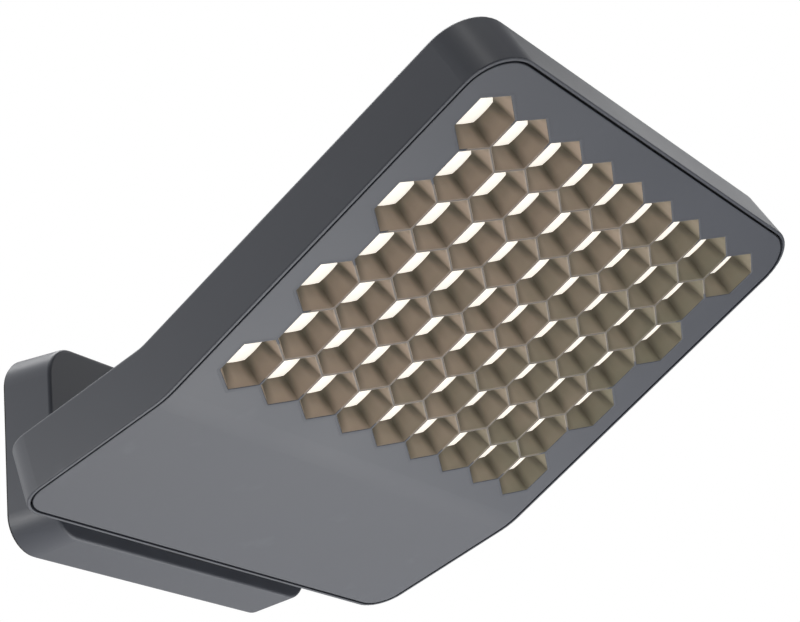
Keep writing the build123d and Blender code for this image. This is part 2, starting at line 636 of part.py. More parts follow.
def arm_seal():
    holes = [rod(WALL, *place, M4_RADIUS + HOLE_FIT, BOX_FRONT - OVERCUT, SEAL_FRONT + OVERCUT)
             for place in arm_screw_places()]
    holes.append(rod(WALL, 0, PIVOT.Z, LEAD_RADIUS + LEAD_FIT, BOX_FRONT - OVERCUT, SEAL_FRONT + OVERCUT))
    return sheet(WALL, flange_outline(), BOX_FRONT, SEAL_FRONT) - holes


def arm_screws():
    length = BOX_FRONT_WALL + ARM_SEAL_THICKNESS + ARM_FLANGE_THICKNESS
    one = Rot(180, 0, 0) * screw(M4_RADIUS, M4_HEAD_RADIUS, M4_HEAD_HEIGHT, length)
    return [WALL.location * Pos(across, height, BOX_INSIDE) * one for across, height in arm_screw_places()]


def pivot_bolts():
    bolt = screw(BOLT_RADIUS, BOLT_HEAD_RADIUS, BOLT_HEAD_HEIGHT, BOLT_SEAT - ARM_WIDTH / 2 + BOLT_GRIP)
    return both_sides(Pos(BOLT_SEAT, PIVOT.Y, PIVOT.Z) * Rot(0, 90, 0) * bolt)


def washers(radius, start, end):
    """Washer on each pivot bolt, from one place across to another."""
    hole = pivot_rod(BOLT_RADIUS + RUNNING_FIT, start - OVERCUT, end + OVERCUT)
    return both_sides(pivot_rod(radius, start, end) - hole)


def friction_washers():
    return washers(FRICTION_WASHER_RADIUS, ARM_WIDTH / 2, ARM_WIDTH / 2 + FRICTION_WASHER_THICKNESS)


def pivot_washers():
    return washers(PIVOT_WASHER_RADIUS, BOLT_SEAT - PIVOT_WASHER_THICKNESS, BOLT_SEAT)


# Wall side

def box_outline(inset):
    """Wall box's outline at the wall, drawn in by an inset."""
    return RectangleRounded(BOX_WIDTH - 2 * inset, BOX_HEIGHT - 2 * inset, BOX_CORNER_RADIUS - inset)


def box_screw_top():
    """Height of the box's top face at the box screws."""
    return BOX_HEIGHT / 2 - (BOX_SCREW_LINE - WALL_GASKET_THICKNESS) * BOX_SLOPE


def wall_box():
    back = WALL.location * Pos(0, 0, WALL_GASKET_THICKNESS)
    shell = extrude(back * box_outline(0), amount=BOX_DEPTH, taper=BOX_DRAFT)
    shell = fillet(shell.edges().group_by(Axis.Y)[0], BOX_EDGE_RADIUS)
    inside = extrude(back * box_outline(BOX_WALL), amount=BOX_DEPTH - BOX_FRONT_WALL, taper=BOX_DRAFT)
    cuts = [rod(WALL, *place, M4_RADIUS + HOLE_FIT, BOX_INSIDE - OVERCUT, BOX_FRONT + OVERCUT)
            for place in arm_screw_places()]
    cuts.append(rod(WALL, 0, PIVOT.Z, LEAD_RADIUS + LEAD_FIT, BOX_INSIDE - OVERCUT, BOX_FRONT + OVERCUT))
    top = box_screw_top()
    through = Cylinder(M4_RADIUS + HOLE_FIT, top, align=BASE)
    cuts += both_sides(Pos(TAB_ACROSS, -BOX_SCREW_LINE, PLATE_HEIGHT / 2) * through)
    sunk = Cylinder(M4_HEAD_RADIUS + HOLE_FIT, top, align=BASE)
    cuts += both_sides(Pos(TAB_ACROSS, -BOX_SCREW_LINE, top - BOX_SCREW_HEAD_HEIGHT) * sunk)
    return shell - inside - cuts


def wall_gasket():
    outline = box_outline(WALL_GASKET_INSET) - box_outline(BOX_WALL)
    return sheet(WALL, outline, 0, WALL_GASKET_THICKNESS)


def box_screws():
    top = box_screw_top() - BOX_SCREW_HEAD_HEIGHT
    one = screw(M4_RADIUS, M4_HEAD_RADIUS, BOX_SCREW_HEAD_HEIGHT, top - PLATE_HEIGHT / 2 + TAB_THICKNESS)
    return both_sides(Pos(TAB_ACROSS, -BOX_SCREW_LINE, top) * one)


def wall_plate():
    outline = RectangleRounded(PLATE_WIDTH, PLATE_HEIGHT, PLATE_CORNER_RADIUS)
    slot = Pos(WALL_SLOT_SPACING / 2, 0) * SlotOverall(WALL_SLOT_LENGTH, WALL_SLOT_WIDTH)
    outline -= both_sides(slot)
    outline -= Pos(0, ENTRY_HEIGHT) * Circle(GROMMET_RADIUS + RUNNING_FIT)
    outline -= Pos(EARTH_ACROSS, EARTH_HEIGHT) * Circle(M4_RADIUS + THREAD_FIT)
    plate = sheet(WALL, outline, 0, PLATE_THICKNESS)
    tab_height = (PLATE_HEIGHT - TAB_THICKNESS) / 2
    tab = block(WALL, TAB_ACROSS, tab_height, TAB_WIDTH, TAB_THICKNESS, 0, TAB_REACH)
    tab -= Pos(TAB_ACROSS, -BOX_SCREW_LINE, tab_height) * Cylinder(M4_RADIUS + THREAD_FIT, 2 * TAB_THICKNESS)
    lower_tab = block(WALL, 0, -tab_height, LOWER_TAB_WIDTH, TAB_THICKNESS, 0, TAB_REACH)
    return plate + both_sides(tab) + lower_tab


def cable_grommet():
    neck = rod(WALL, 0, ENTRY_HEIGHT, GROMMET_RADIUS, 0, PLATE_THICKNESS)
    front = PLATE_THICKNESS + GROMMET_FLANGE_THICKNESS
    flange = rod(WALL, 0, ENTRY_HEIGHT, GROMMET_FLANGE_RADIUS, PLATE_THICKNESS, front)
    return neck + flange - rod(WALL, 0, ENTRY_HEIGHT, CABLE_RADIUS, -OVERCUT, front + OVERCUT)


def pole_heights():
    """Heights of the terminal block's poles."""
    return [PIVOT.Z + (pole - (TERMINAL_POLES - 1) / 2) * POLE_PITCH for pole in range(TERMINAL_POLES)]


def terminal_screw_places():
    """Across and height of the terminal screws."""
    sides = (TERMINAL_ACROSS - TERMINAL_SCREW_SPACING / 2, TERMINAL_ACROSS + TERMINAL_SCREW_SPACING / 2)
    return [(across, height) for height in pole_heights() for across in sides]


def pole_rod(height, radius, margin):
    """Cylinder through the terminal block along one pole, past its ends by a margin."""
    length = TERMINAL_LENGTH + 2 * margin
    return Pos(TERMINAL_ACROSS, -LEAD_LINE, height) * Rot(0, 90, 0) * Cylinder(radius, length)


def terminal_block():
    body = block(WALL, TERMINAL_ACROSS, PIVOT.Z, TERMINAL_LENGTH, TERMINAL_HEIGHT,
                 PLATE_THICKNESS, TERMINAL_FACE)
    poles = [pole_rod(height, INSERT_RADIUS + THREAD_FIT, OVERCUT) for height in pole_heights()]
    holes = [rod(WALL, *place, TERMINAL_SCREW_RADIUS + HOLE_FIT, LEAD_LINE, TERMINAL_FACE + OVERCUT)
             for place in terminal_screw_places()]
    return body - poles - holes


def terminal_inserts():
    inserts = []
    for height in pole_heights():
        tube = pole_rod(height, INSERT_RADIUS, 0) - pole_rod(height, INSERT_BORE_RADIUS, OVERCUT)
        holes = [rod(WALL, *place, TERMINAL_SCREW_RADIUS + THREAD_FIT, LEAD_LINE, TERMINAL_FACE)
                 for place in terminal_screw_places()]
        inserts.append(tube - holes)
    return inserts


def terminal_screws():
    pins = []
    for across, height in terminal_screw_places():
        pin = rod(WALL, across, height, TERMINAL_SCREW_RADIUS, LEAD_LINE + INSERT_BORE_RADIUS, TERMINAL_FACE)
        slot = block(WALL, across, height, 2 * TERMINAL_SCREW_RADIUS, TERMINAL_SLOT_WIDTH,
                     TERMINAL_FACE - TERMINAL_SLOT_DEPTH, TERMINAL_FACE + OVERCUT)
        pins.append(pin - slot)
    return pins


def earth_lug():
    eye = Circle(EARTH_LUG_RADIUS)
    tail = Pos(-EARTH_LUG_LENGTH / 2, 0) * Rectangle(EARTH_LUG_LENGTH, EARTH_LUG_RADIUS)
    outline = Pos(EARTH_ACROSS, EARTH_HEIGHT) * (eye + tail - Circle(M4_RADIUS + HOLE_FIT))
    return sheet(WALL, outline, PLATE_THICKNESS, PLATE_THICKNESS + EARTH_LUG_THICKNESS)


def earth_screw():
    one = screw(M4_RADIUS, M4_HEAD_RADIUS, M4_HEAD_HEIGHT, EARTH_LUG_THICKNESS + PLATE_THICKNESS)
    return WALL.location * Pos(EARTH_ACROSS, EARTH_HEIGHT, PLATE_THICKNESS + EARTH_LUG_THICKNESS) * one


def supply_lead():
    """Lead from the terminal block through the arm's duct, as far as the pivot axis."""
    hinge_end = Vector(0, -(PIVOT_LINE - LEAD_RADIUS - LEAD_FIT), PIVOT.Z)
    corner = Vector(0, -LEAD_LINE, PIVOT.Z)
    block_end = Vector(TERMINAL_SIDE, -LEAD_LINE, PIVOT.Z)
    path = FilletPolyline(hinge_end, corner, block_end, radius=LEAD_BEND_RADIUS)
    section = Plane(origin=hinge_end, z_dir=(0, 1, 0)) * Circle(LEAD_RADIUS)
    return sweep(section, path=path)


PIECES = (
    wall_plate, wall_gasket, wall_box, box_screws, cable_grommet,
    terminal_block, terminal_inserts, terminal_screws, earth_lug, earth_screw, supply_lead,
    hinge_arm, arm_seal, arm_screws, pivot_bolts, friction_washers, pivot_washers, hinge_yoke, yoke_screws,
    head_housing, front_panel, panel_gasket, panel_screws, breather_vent,
    honeycomb_louvre, diffuser, spacer_frame, led_board, leds, thermal_pad, board_screws, led_connector,
    led_driver, driver_screws, led_leads, head_lead, lead_grommet,
)

os.makedirs("parts", exist_ok=True)
for piece in PIECES:
    made = piece()
    shape = Compound(made) if isinstance(made, list) else made
    export_step(shape, f"parts/{piece.__name__}.step")
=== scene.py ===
"""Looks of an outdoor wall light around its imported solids: finishes, honeycomb, screws, studio and camera."""

import logging
import math
from dataclasses import dataclass
from enum import Enum
from typing import Any, Callable, Optional, Union

import bmesh
import bpy
from mathutils import Matrix, Vector


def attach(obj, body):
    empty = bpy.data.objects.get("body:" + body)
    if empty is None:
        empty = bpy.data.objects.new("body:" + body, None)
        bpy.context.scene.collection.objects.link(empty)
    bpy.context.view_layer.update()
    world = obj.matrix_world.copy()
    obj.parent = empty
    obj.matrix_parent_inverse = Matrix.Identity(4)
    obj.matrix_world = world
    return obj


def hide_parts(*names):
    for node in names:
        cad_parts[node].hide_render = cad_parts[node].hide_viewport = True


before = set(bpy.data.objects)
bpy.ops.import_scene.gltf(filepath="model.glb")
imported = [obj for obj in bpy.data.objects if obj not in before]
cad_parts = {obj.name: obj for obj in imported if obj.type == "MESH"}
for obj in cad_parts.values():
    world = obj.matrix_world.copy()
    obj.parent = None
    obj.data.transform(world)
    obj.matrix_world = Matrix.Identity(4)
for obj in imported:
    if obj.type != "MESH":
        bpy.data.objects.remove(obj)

MM = 0.001
MERGE_DISTANCE = 0.01 * MM
BOTH_SIDES = (-1, 1)
AT_ORIGIN = [Vector((0, 0, 0))]
LOG = logging.getLogger("wall light")

Mesh = bpy.types.Mesh
Colour = tuple[float, float, float]
Place = tuple[float, float, float]
Range = tuple[float, float]
Operand = Union["Socket", float]
Inputs = Optional[dict[Any, Any]]


class Body(Enum):
    """Bodies that pieces move with."""

    BASE = "base"
    HEAD = "head"


class Slot(Enum):
    """Finish slots of the part, which new pieces name; screws take their metal by them."""

    LOUVRE = "louvre"
    LED = "led"
    STAINLESS = "stainless"
    PLATED_STEEL = "plated_steel"
    BRASS = "brass"
    BLACK_PLASTIC = "black_plastic"


class Outline(Enum):
    """Sides of a ring in a turned shape; a round ring has so many that it is a circle."""

    ROUND = 3600
    SQUARE = 4
    HEXAGON = 6
    GRIP = 12


# Node wiring

def by_maths(operation: str, swapped: bool = False) -> Callable[["Socket", Operand], "Socket"]:
    """Operator of sockets that adds a Math node.

    Args:
        operation: Math operation.
        swapped: Whether the socket stands to the right of the other operand.

    Returns:
        The operator's method.
    """
    def apply(self: "Socket", other: Operand) -> "Socket":
        """Result of the operation on both operands."""
        operands = (other, self) if swapped else (self, other)
        return self.wiring.maths(operation, *operands)

    return apply


@dataclass(frozen=True)
class Socket:
    """Output of a node that takes part in Python arithmetic and adds the Math nodes that it needs."""

    wiring: "Wiring"
    output: bpy.types.NodeSocket

    __add__ = by_maths("ADD")
    __radd__ = by_maths("ADD", swapped=True)
    __sub__ = by_maths("SUBTRACT")
    __rsub__ = by_maths("SUBTRACT", swapped=True)
    __mul__ = by_maths("MULTIPLY")
    __rmul__ = by_maths("MULTIPLY", swapped=True)
    __truediv__ = by_maths("DIVIDE")
    __rtruediv__ = by_maths("DIVIDE", swapped=True)
    __mod__ = by_maths("FLOORED_MODULO")
    __lt__ = by_maths("LESS_THAN")
    __gt__ = by_maths("GREATER_THAN")

    def __abs__(self) -> "Socket":
        """Size without the sign."""
        return self.wiring.maths("ABSOLUTE", self)


class Wiring:
    """Node tree that is filled from Python."""

    def __init__(self, tree: bpy.types.NodeTree) -> None:
        """Take the tree to fill."""
        self.tree = tree

    def node(self, kind: str, sockets: Inputs = None, **settings: Any) -> bpy.types.Node:
        """Add one node.

        Args:
            kind: Node type.
            sockets: Values or links of its inputs, by name or number.
            settings: Properties of the node, which are set before its inputs.

        Returns:
            The new node.
        """
        made = self.tree.nodes.new(kind)
        for name, value in settings.items():
            setattr(made, name, value)
        for key, value in (sockets or {}).items():
            self.feed(made.inputs[key], value)
        return made

    def feed(self, target: bpy.types.NodeSocket, value: Any) -> None:
        """Link or set one input.

        Args:
            target: Input to feed.
            value: Socket to link, or a plain value.
        """
        if isinstance(value, Socket):
            self.tree.links.new(value.output, target)
        else:
            target.default_value = value

    def out(self, kind: str, sockets: Inputs = None, output: Any = 0, **settings: Any) -> Socket:
        """Add one node and take one of its outputs, by name or number."""
        return Socket(self, self.node(kind, sockets, **settings).outputs[output])

    def maths(self, operation: str, first: Operand, second: Operand = 0.0) -> Socket:
        """Math node on one or two operands."""
        return self.out("ShaderNodeMath", {0: first, 1: second}, operation=operation)

    def between(self, value: Socket, low: float, high: float, start: float = 0.0, end: float = 1.0) -> Socket:
        """Smooth step from a start to an end as the value goes from low to high."""
        sockets = {"Value": value, "From Min": low, "From Max": high, "To Min": start, "To Max": end}
        return self.out("ShaderNodeMapRange", sockets, interpolation_type="SMOOTHSTEP")

    def parts(self, vector: Socket) -> tuple[Socket, ...]:
        """X, Y and Z of a vector."""
        made = self.node("ShaderNodeSeparateXYZ", {0: vector})
        return tuple(Socket(self, output) for output in made.outputs)

    def vector(self, x: Operand, y: Operand, z: Operand) -> Socket:
        """Vector of three numbers."""
        return self.out("ShaderNodeCombineXYZ", {0: x, 1: y, 2: z})


class Brush(Wiring):
    """Node tree of one material, with its shader and the steps that finishes share."""

    fineness: float = 0.55

    def __init__(self, material: bpy.types.Material) -> None:
        """Empty the material's tree and add its shader.

        Args:
            material: Material to paint.
        """
        material.use_nodes = True
        material.node_tree.nodes.clear()
        super().__init__(material.node_tree)
        self.shader = self.node("ShaderNodeBsdfPrincipled")
        output = self.node("ShaderNodeOutputMaterial")
        self.tree.links.new(self.shader.outputs[0], output.inputs["Surface"])

    def set(self, name: str, value: Any) -> None:
        """Link or set one of the shader's inputs."""
        self.feed(self.shader.inputs[name], value)

    def place(self) -> Socket:
        """Place on the piece in metres."""
        return self.out("ShaderNodeTexCoord", output="Object")

    def mark(self, name: str) -> Socket:
        """Number that the mesh carries under a name."""
        return self.out("ShaderNodeAttribute", output="Fac", attribute_name=name)

    def noise(self, scale: float, detail: float = 2.0, place: Optional[Socket] = None) -> Socket:
        """Noise around one half with so many bumps per metre, read at a given place or else on the piece."""
        sockets = {"Vector": place or self.place(), "Scale": scale, "Detail": detail,
                   "Roughness": self.fineness}
        return self.out("ShaderNodeTexNoise", sockets, "Fac")

    def mix(self, mask: Operand, low: Any, high: Any) -> Socket:
        """Colour from a low to a high one, each plain or linked, as the mask goes from zero to one."""
        first, second = ((*colour, 1.0) if isinstance(colour, tuple) else colour for colour in (low, high))
        # The node's inputs 6 and 7 take colours, and its output 2 gives one.
        return self.out("ShaderNodeMix", {0: mask, 6: first, 7: second}, 2, data_type="RGBA")


# Places on the light

@dataclass(frozen=True)
class Section:
    """Straight section of the bent head: its slope in degrees, and the line of the bend in millimetres."""

    tilt: float
    bend_y: float = -93.82
    bend_z: float = -16.21

    def turn(self) -> Matrix:
        """Rotation from across, along and depth to the light's frame."""
        return Matrix.Rotation(-math.radians(self.tilt), 4, "X")

    def depth_direction(self) -> Vector:
        """Direction from the panel face up into the head."""
        return self.turn() @ Vector((0, 0, 1))

    def along_direction(self) -> Vector:
        """Direction along the panel face towards the wall."""
        return self.turn() @ Vector((0, 1, 0))

    def origin(self) -> Vector:
        """Middle of the bend's line in metres."""
        return Vector((0, self.bend_y, self.bend_z)) * MM

    def matrix(self) -> Matrix:
        """Matrix from across, along and depth in metres to the light's frame."""
        return Matrix.Translation(self.origin()) @ self.turn()

    def point(self, across: float, along: float, depth: float) -> Vector:
        """Point in metres from millimetres across, along from the bend and behind the panel face."""
        return self.matrix() @ (Vector((across, along, depth)) * MM)


OUTER = Section(tilt=28.1)
INNER = Section(tilt=15.9)


@dataclass(frozen=True)
class CellGrid:
    """Honeycomb of cells: rows of nine and, between them, rows of eight, in millimetres."""

    pitch: float = 20.0
    long_count: int = 9
    long_rows: int = 4
    outer_length: float = 149.22
    front_margin: float = 23.2

    def row_spacing(self) -> float:
        """Distance between two rows."""
        return self.pitch * math.sqrt(3) / 2

    def middle(self) -> float:
        """Place along the outer section of the middle row."""
        return self.front_margin + (self.long_rows - 1) * self.row_spacing() - self.outer_length

    def row_along(self, row: int) -> float:
        """Place along the outer section of a row, counted from the front."""
        return self.middle() + (row - self.long_rows + 1) * self.row_spacing()

    def half_reach(self) -> Range:
        """Half of the room that holds cell centres, across and along, with half a step to spare."""
        across = (self.long_count - 0.5) * self.pitch / 2
        return across, (self.long_rows - 0.5) * self.row_spacing()


CELLS = CellGrid()


def in_metres(sizes: dict[str, float]) -> dict[str, float]:
    """Named sizes in metres from millimetres."""
    return {name: size * MM for name, size in sizes.items()}


# Finishes

ANTHRACITE: Colour = (0.0675, 0.0725, 0.087)


@dataclass(frozen=True)
class Finish:
    """Surface of a piece: a colour that varies, its gloss and a fine relief, its height in millimetres."""

    name: str
    colour: Colour
    roughness: float
    metallic: float = 0.0
    grain_scale: float = 1800.0
    cloud_scale: float = 30.0
    cloud_share: float = 0.6
    cloud_range: Range = (0.3, 0.7)
    colour_swing: float = 0.08
    roughness_swing: float = 0.1
    relief: float = 0.1
    relief_height: float = 0.05

    def material(self) -> bpy.types.Material:
        """Material of this finish, made on first use.

        Returns:
            The material.
        """
        made = bpy.data.materials.get(self.name)
        if made is None:
            made = bpy.data.materials.new(self.name)
            self.paint(Brush(made))
        return made

    def scaled(self, factor: float) -> Colour:
        """This finish's colour made lighter or darker."""
        return tuple(channel * factor for channel in self.colour)

    def base_colour(self, brush: Brush, mottle: Socket) -> Socket:
        """Colour that swings a little as the mottle goes from zero to one."""
        return brush.mix(mottle, self.scaled(1 - self.colour_swing), self.scaled(1 + self.colour_swing))

    def gloss(self, change: Socket) -> Socket:
        """Roughness that swings a little as the change goes from zero to one."""
        return self.roughness + (change - 0.5) * self.roughness_swing

    def mottle(self, brush: Brush, grain: Socket) -> Socket:
        """Slow change from zero to one with some of the grain in it."""
        cloud = brush.noise(self.cloud_scale, detail=4.0)
        return brush.between(grain * (1 - self.cloud_share) + cloud * self.cloud_share, *self.cloud_range)

    def cover(self, brush: Brush, colour: Socket, roughness: Socket, height: Socket) -> None:
        """Feed the shader.

        Args:
            brush: Brush of the material.
            colour: Colour over the surface.
            roughness: Roughness over the surface.
            height: Height of the relief, from zero to one.
        """
        relief = {"Strength": self.relief, "Distance": self.relief_height * MM, "Height": height}
        brush.set("Base Color", colour)
        brush.set("Roughness", roughness)
        brush.set("Metallic", self.metallic)
        brush.set("Normal", brush.out("ShaderNodeBump", relief))

    def paint(self, brush: Brush) -> None:
        """Paint a mottled and finely grained surface.

        Args:
            brush: Brush of the material.
        """
        grain = brush.noise(self.grain_scale)
        mottle = self.mottle(brush, grain)
        self.cover(brush, self.base_colour(brush, mottle), self.gloss(mottle), grain)


@dataclass(frozen=True)
class BrushedMetal(Finish):
    """Bare metal with fine lines that are drawn out across the light, and a dull film."""

    line_squeeze: float = 0.05
    film_range: Range = (0.35, 0.7)
    film_gloss: float = 0.06

    def paint(self, brush: Brush) -> None:
        """Paint the drawn lines and the film.

        Args:
            brush: Brush of the material.
        """
        x, y, z = brush.parts(brush.place())
        drawn = brush.noise(self.grain_scale, detail=3.0, place=brush.vector(x * self.line_squeeze, y, z))
        film = brush.between(brush.noise(self.cloud_scale, detail=5.0), *self.film_range)
        roughness = self.gloss(drawn) + (1 - film) * self.film_gloss
        self.cover(brush, self.base_colour(brush, film), roughness, drawn)


@dataclass(frozen=True)
class CellPattern(Finish):
    """Finish whose pattern follows the honeycomb's cells."""

    def from_cell(self, brush: Brush) -> Socket:
        """Distance in millimetres from the middle of the nearest cell.

        Args:
            brush: Brush of the material.

        Returns:
            The distance.
        """
        place = brush.place()
        towards_wall = OUTER.along_direction()
        half_pitch = CELLS.pitch / 2
        spacing = CELLS.row_spacing()
        middle = towards_wall.dot(OUTER.origin()) / MM + CELLS.middle()
        across = brush.parts(place)[0] / MM
        sockets = {0: place, 1: towards_wall}
        along = brush.out("ShaderNodeVectorMath", sockets, "Value", operation="DOT_PRODUCT") / MM - middle
        distances = []
        for shift_across, shift_along in ((half_pitch, 0.0), (0.0, spacing)):
            from_column = (across + shift_across) % CELLS.pitch - half_pitch
            from_row = (along + shift_along) % (2 * spacing) - spacing
            distances.append(brush.maths("SQRT", from_column * from_column + from_row * from_row))
        return brush.maths("MINIMUM", *distances)


@dataclass(frozen=True)
class OpalDiffuser(CellPattern):
    """Opal sheet that glows, a little brighter over each LED."""

    glow: Colour = (1.0, 0.95, 0.87)
    edge_glow: Colour = (0.98, 0.915, 0.81)
    strength: float = 0.8
    spread_range: Range = (2.0, 9.5)

    def paint(self, brush: Brush) -> None:
        """Paint the glow and a faint haze.

        Args:
            brush: Brush of the material.
        """
        spread = brush.between(self.from_cell(brush), *self.spread_range)
        haze = brush.noise(self.grain_scale)
        brush.set("Emission Color", brush.mix(spread, self.glow, self.edge_glow))
        brush.set("Emission Strength", self.strength)
        brush.set("Base Color", self.base_colour(brush, haze))
        brush.set("Roughness", self.gloss(haze))


@dataclass(frozen=True)
class BoardFinish(CellPattern):
    """White LED board with a copper pad round each LED, in millimetres, and a faint weave."""

    copper: Colour = (0.62, 0.42, 0.24)
    pad_range: Range = (2.3, 2.9)
    pad_metal: float = 0.9

    def paint(self, brush: Brush) -> None:
        """Paint the board and its pads.

        Args:
            brush: Brush of the material.
        """
        distance = self.from_cell(brush)
        pad_start, pad_end = self.pad_range
        pad = (distance < pad_end) * (distance > pad_start)
        weave = brush.noise(self.grain_scale)
        colour = brush.mix(pad, self.base_colour(brush, weave), self.copper)
        self.cover(brush, colour, self.gloss(weave), weave + pad)
        brush.set("Metallic", pad * self.pad_metal)


@dataclass(frozen=True)
class LouvreFinish(Finish):
    """Champagne coat of the louvre.

    The walls are painted darker with depth and in their corners as painted shade, and painted darker and olive
    towards one side as painted side shade, over a reach in metres.
    The lips have a colour of their own, and the rim has the panel's. Depth and corners are marks on the mesh.
    """

    lip: Colour = (0.14, 0.124, 0.109)
    # Painted shade: the colour that the walls turn to deep in each cell and in its corners.
    deep_shade: Colour = (0.11, 0.097, 0.07)
    # Painted side shade: the darker olive that the walls turn to towards one side.
    olive_side_shade: Colour = (0.31, 0.285, 0.21)
    rim: Colour = ANTHRACITE
    corner_range: Range = (0.35, 1.05)
    corner_shade: float = 0.55
    # Share of the noise that makes the painted shade patchy.
    shade_noise_share: float = 0.25
    shade_range: Range = (0.05, 1.35)
    # Painted side shade: size of its patches, its reach across and its range.
    side_shade_scale: float = 55.0
    side_shade_reach: float = 0.15
    side_shade_patches: float = 1.2
    side_shade_range: Range = (-0.35, 0.75)
    lip_range: Range = (0.008, 0.03)
    rim_range: Range = (-0.3, -0.02)

    def paint(self, brush: Brush) -> None:
        """Paint the walls with their painted shade in depth and corners and their painted side shade, then the
        lips and the rim.

        Args:
            brush: Brush of the material.
        """
        # Painted shade: darker deeper in each cell and near its corners.
        depth = brush.mark("mark")
        grain = brush.noise(self.grain_scale)
        # Noise that makes the painted shade patchy.
        shade_noise = brush.noise(self.cloud_scale, detail=3.0) - 0.5
        near_corner = brush.between(brush.mark("corner"), *self.corner_range)
        darkness = depth + near_corner * self.corner_shade + shade_noise * self.shade_noise_share
        shade = brush.between(darkness, *self.shade_range)
        # Painted side shade: darker and olive towards one side, in patches.
        across = brush.parts(brush.place())[0] / self.side_shade_reach
        patch = brush.noise(self.side_shade_scale) - 0.5
        side_shade = brush.between(across + patch * self.side_shade_patches, *self.side_shade_range)
        walls = brush.mix(shade, brush.mix(side_shade, self.colour, self.olive_side_shade), self.deep_shade)
        lip_mask = brush.between(depth, *self.lip_range, start=1.0, end=0.0)
        lipped = brush.mix(lip_mask, walls, self.lip)
        rim_mask = brush.between(depth, *self.rim_range, start=1.0, end=0.0)
        self.cover(brush, brush.mix(rim_mask, lipped, self.rim), self.gloss(grain), grain)


@dataclass(frozen=True)
class LedFinish(Finish):
    """White LED package with a glossier yellow lens, which the mesh marks."""

    lens: Colour = (0.9, 0.62, 0.08)
    lens_range: Range = (0.4, 0.6)
    lens_gloss: float = 0.25

    def paint(self, brush: Brush) -> None:
        """Paint the package and its lens.

        Args:
            brush: Brush of the material.
        """
        lens_mask = brush.between(brush.mark("mark"), *self.lens_range)
        grain = brush.noise(self.grain_scale)
        colour = brush.mix(lens_mask, self.base_colour(brush, grain), self.lens)
        self.cover(brush, colour, self.gloss(grain) - lens_mask * self.lens_gloss, grain)


@dataclass(frozen=True)
class PairedWire(Finish):
    """Insulation of two wires, one colour on each side of the light's middle."""

    other: Colour = (0.03, 0.03, 0.032)

    def base_colour(self, brush: Brush, mottle: Socket) -> Socket:
        """Colour of each wire."""
        right = brush.parts(brush.place())[0] > 0.0
        return brush.mix(right, self.other, super().base_colour(brush, mottle))


@dataclass(frozen=True)
class PowderCoat(Finish):
    """Fine textured powder coat with a soft orange peel and thin paler rubbing."""

    cloud_share: float = 0.65
    peel_scale: float = 420.0
    peel_share: float = 0.4
    rub: float = 0.16
    rub_scale: float = 48.0
    rub_range: Range = (0.62, 0.75)
    rub_lightness: float = 1.5
    rub_gloss: float = 0.3

    def paint(self, brush: Brush) -> None:
        """Paint the coat with its peel and rubbing.

        Args:
            brush: Brush of the material.
        """
        grain = brush.noise(self.grain_scale)
        peel = brush.noise(self.peel_scale, detail=1.0)
        mottle = self.mottle(brush, grain)
        rubbed = brush.between(brush.noise(self.rub_scale, detail=6.0), *self.rub_range) * self.rub
        colour = brush.mix(rubbed, self.base_colour(brush, mottle), self.scaled(self.rub_lightness))
        height = grain * (1 - self.peel_share) + peel * self.peel_share
        self.cover(brush, colour, self.gloss(mottle) - rubbed * self.rub_gloss, height)


@dataclass(frozen=True)
class FadingFloor(Finish):
    """Pale floor that fades into the white surround far from the light, in metres."""

    near: float = 0.3
    far: float = 1.15

    def paint(self, brush: Brush) -> None:
        """Paint the plain finish and the fade.

        Args:
            brush: Brush of the material.
        """
        super().paint(brush)
        x, y, _ = brush.parts(brush.place())
        reach = brush.maths("SQRT", x * x + y * y)
        brush.set("Alpha", brush.between(reach, self.near, self.far, start=1.0, end=0.0))


COAT = PowderCoat("anthracite_coat", ANTHRACITE, 0.42, grain_scale=2600.0, cloud_scale=12.0,
                  colour_swing=0.05, relief_height=0.06)
LOUVRE = LouvreFinish("champagne_louvre", (0.5, 0.4, 0.318), 0.5, grain_scale=1500.0, cloud_scale=160.0,
                      relief=0.08)
OPAL = OpalDiffuser("glowing_opal", (0.55, 0.54, 0.5), 0.5)
RUBBER = Finish("black_seal_rubber", (0.018, 0.018, 0.02), 0.78, cloud_scale=90.0, colour_swing=0.3,
                relief=0.25)
BLACK_PLASTIC = Finish("black_moulded_plastic", (0.022, 0.022, 0.024), 0.5, grain_scale=2200.0,
                       colour_swing=0.2, relief=0.2)
WHITE_PLASTIC = Finish("white_moulded_plastic", (0.74, 0.73, 0.69), 0.42, grain_scale=1600.0,
                       colour_swing=0.04)
PLATED_STEEL = BrushedMetal("zinc_plated_steel", (0.6, 0.61, 0.63), 0.36, 1.0, grain_scale=900.0,
                            cloud_scale=70.0, colour_swing=0.14, roughness_swing=0.2)
STAINLESS = BrushedMetal("stainless_steel", (0.56, 0.55, 0.54), 0.3, 1.0, grain_scale=2400.0,
                         cloud_scale=120.0, roughness_swing=0.2)
BRASS = BrushedMetal("dull_brass", (0.72, 0.5, 0.2), 0.34, 1.0, grain_scale=1400.0, cloud_scale=150.0,
                     colour_swing=0.18, roughness_swing=0.2)
BOARD = BoardFinish("white_led_board", (0.78, 0.78, 0.75), 0.4, grain_scale=2400.0, colour_swing=0.03)
LED = LedFinish("led_package", (0.82, 0.81, 0.78), 0.45, grain_scale=3000.0, colour_swing=0.03)
PAD = Finish("grey_thermal_pad", (0.3, 0.33, 0.38), 0.7, grain_scale=1300.0, colour_swing=0.18, relief=0.3)
CABLE = Finish("black_cable_jacket", (0.02, 0.02, 0.022), 0.42, grain_scale=900.0, colour_swing=0.25,
               relief=0.12)
WIRE = PairedWire("wire_insulation", (0.45, 0.03, 0.025), 0.38, grain_scale=1200.0)
WASHER = Finish("fibre_washer", (0.5, 0.42, 0.3), 0.66, grain_scale=1700.0, colour_swing=0.2, relief=0.3)
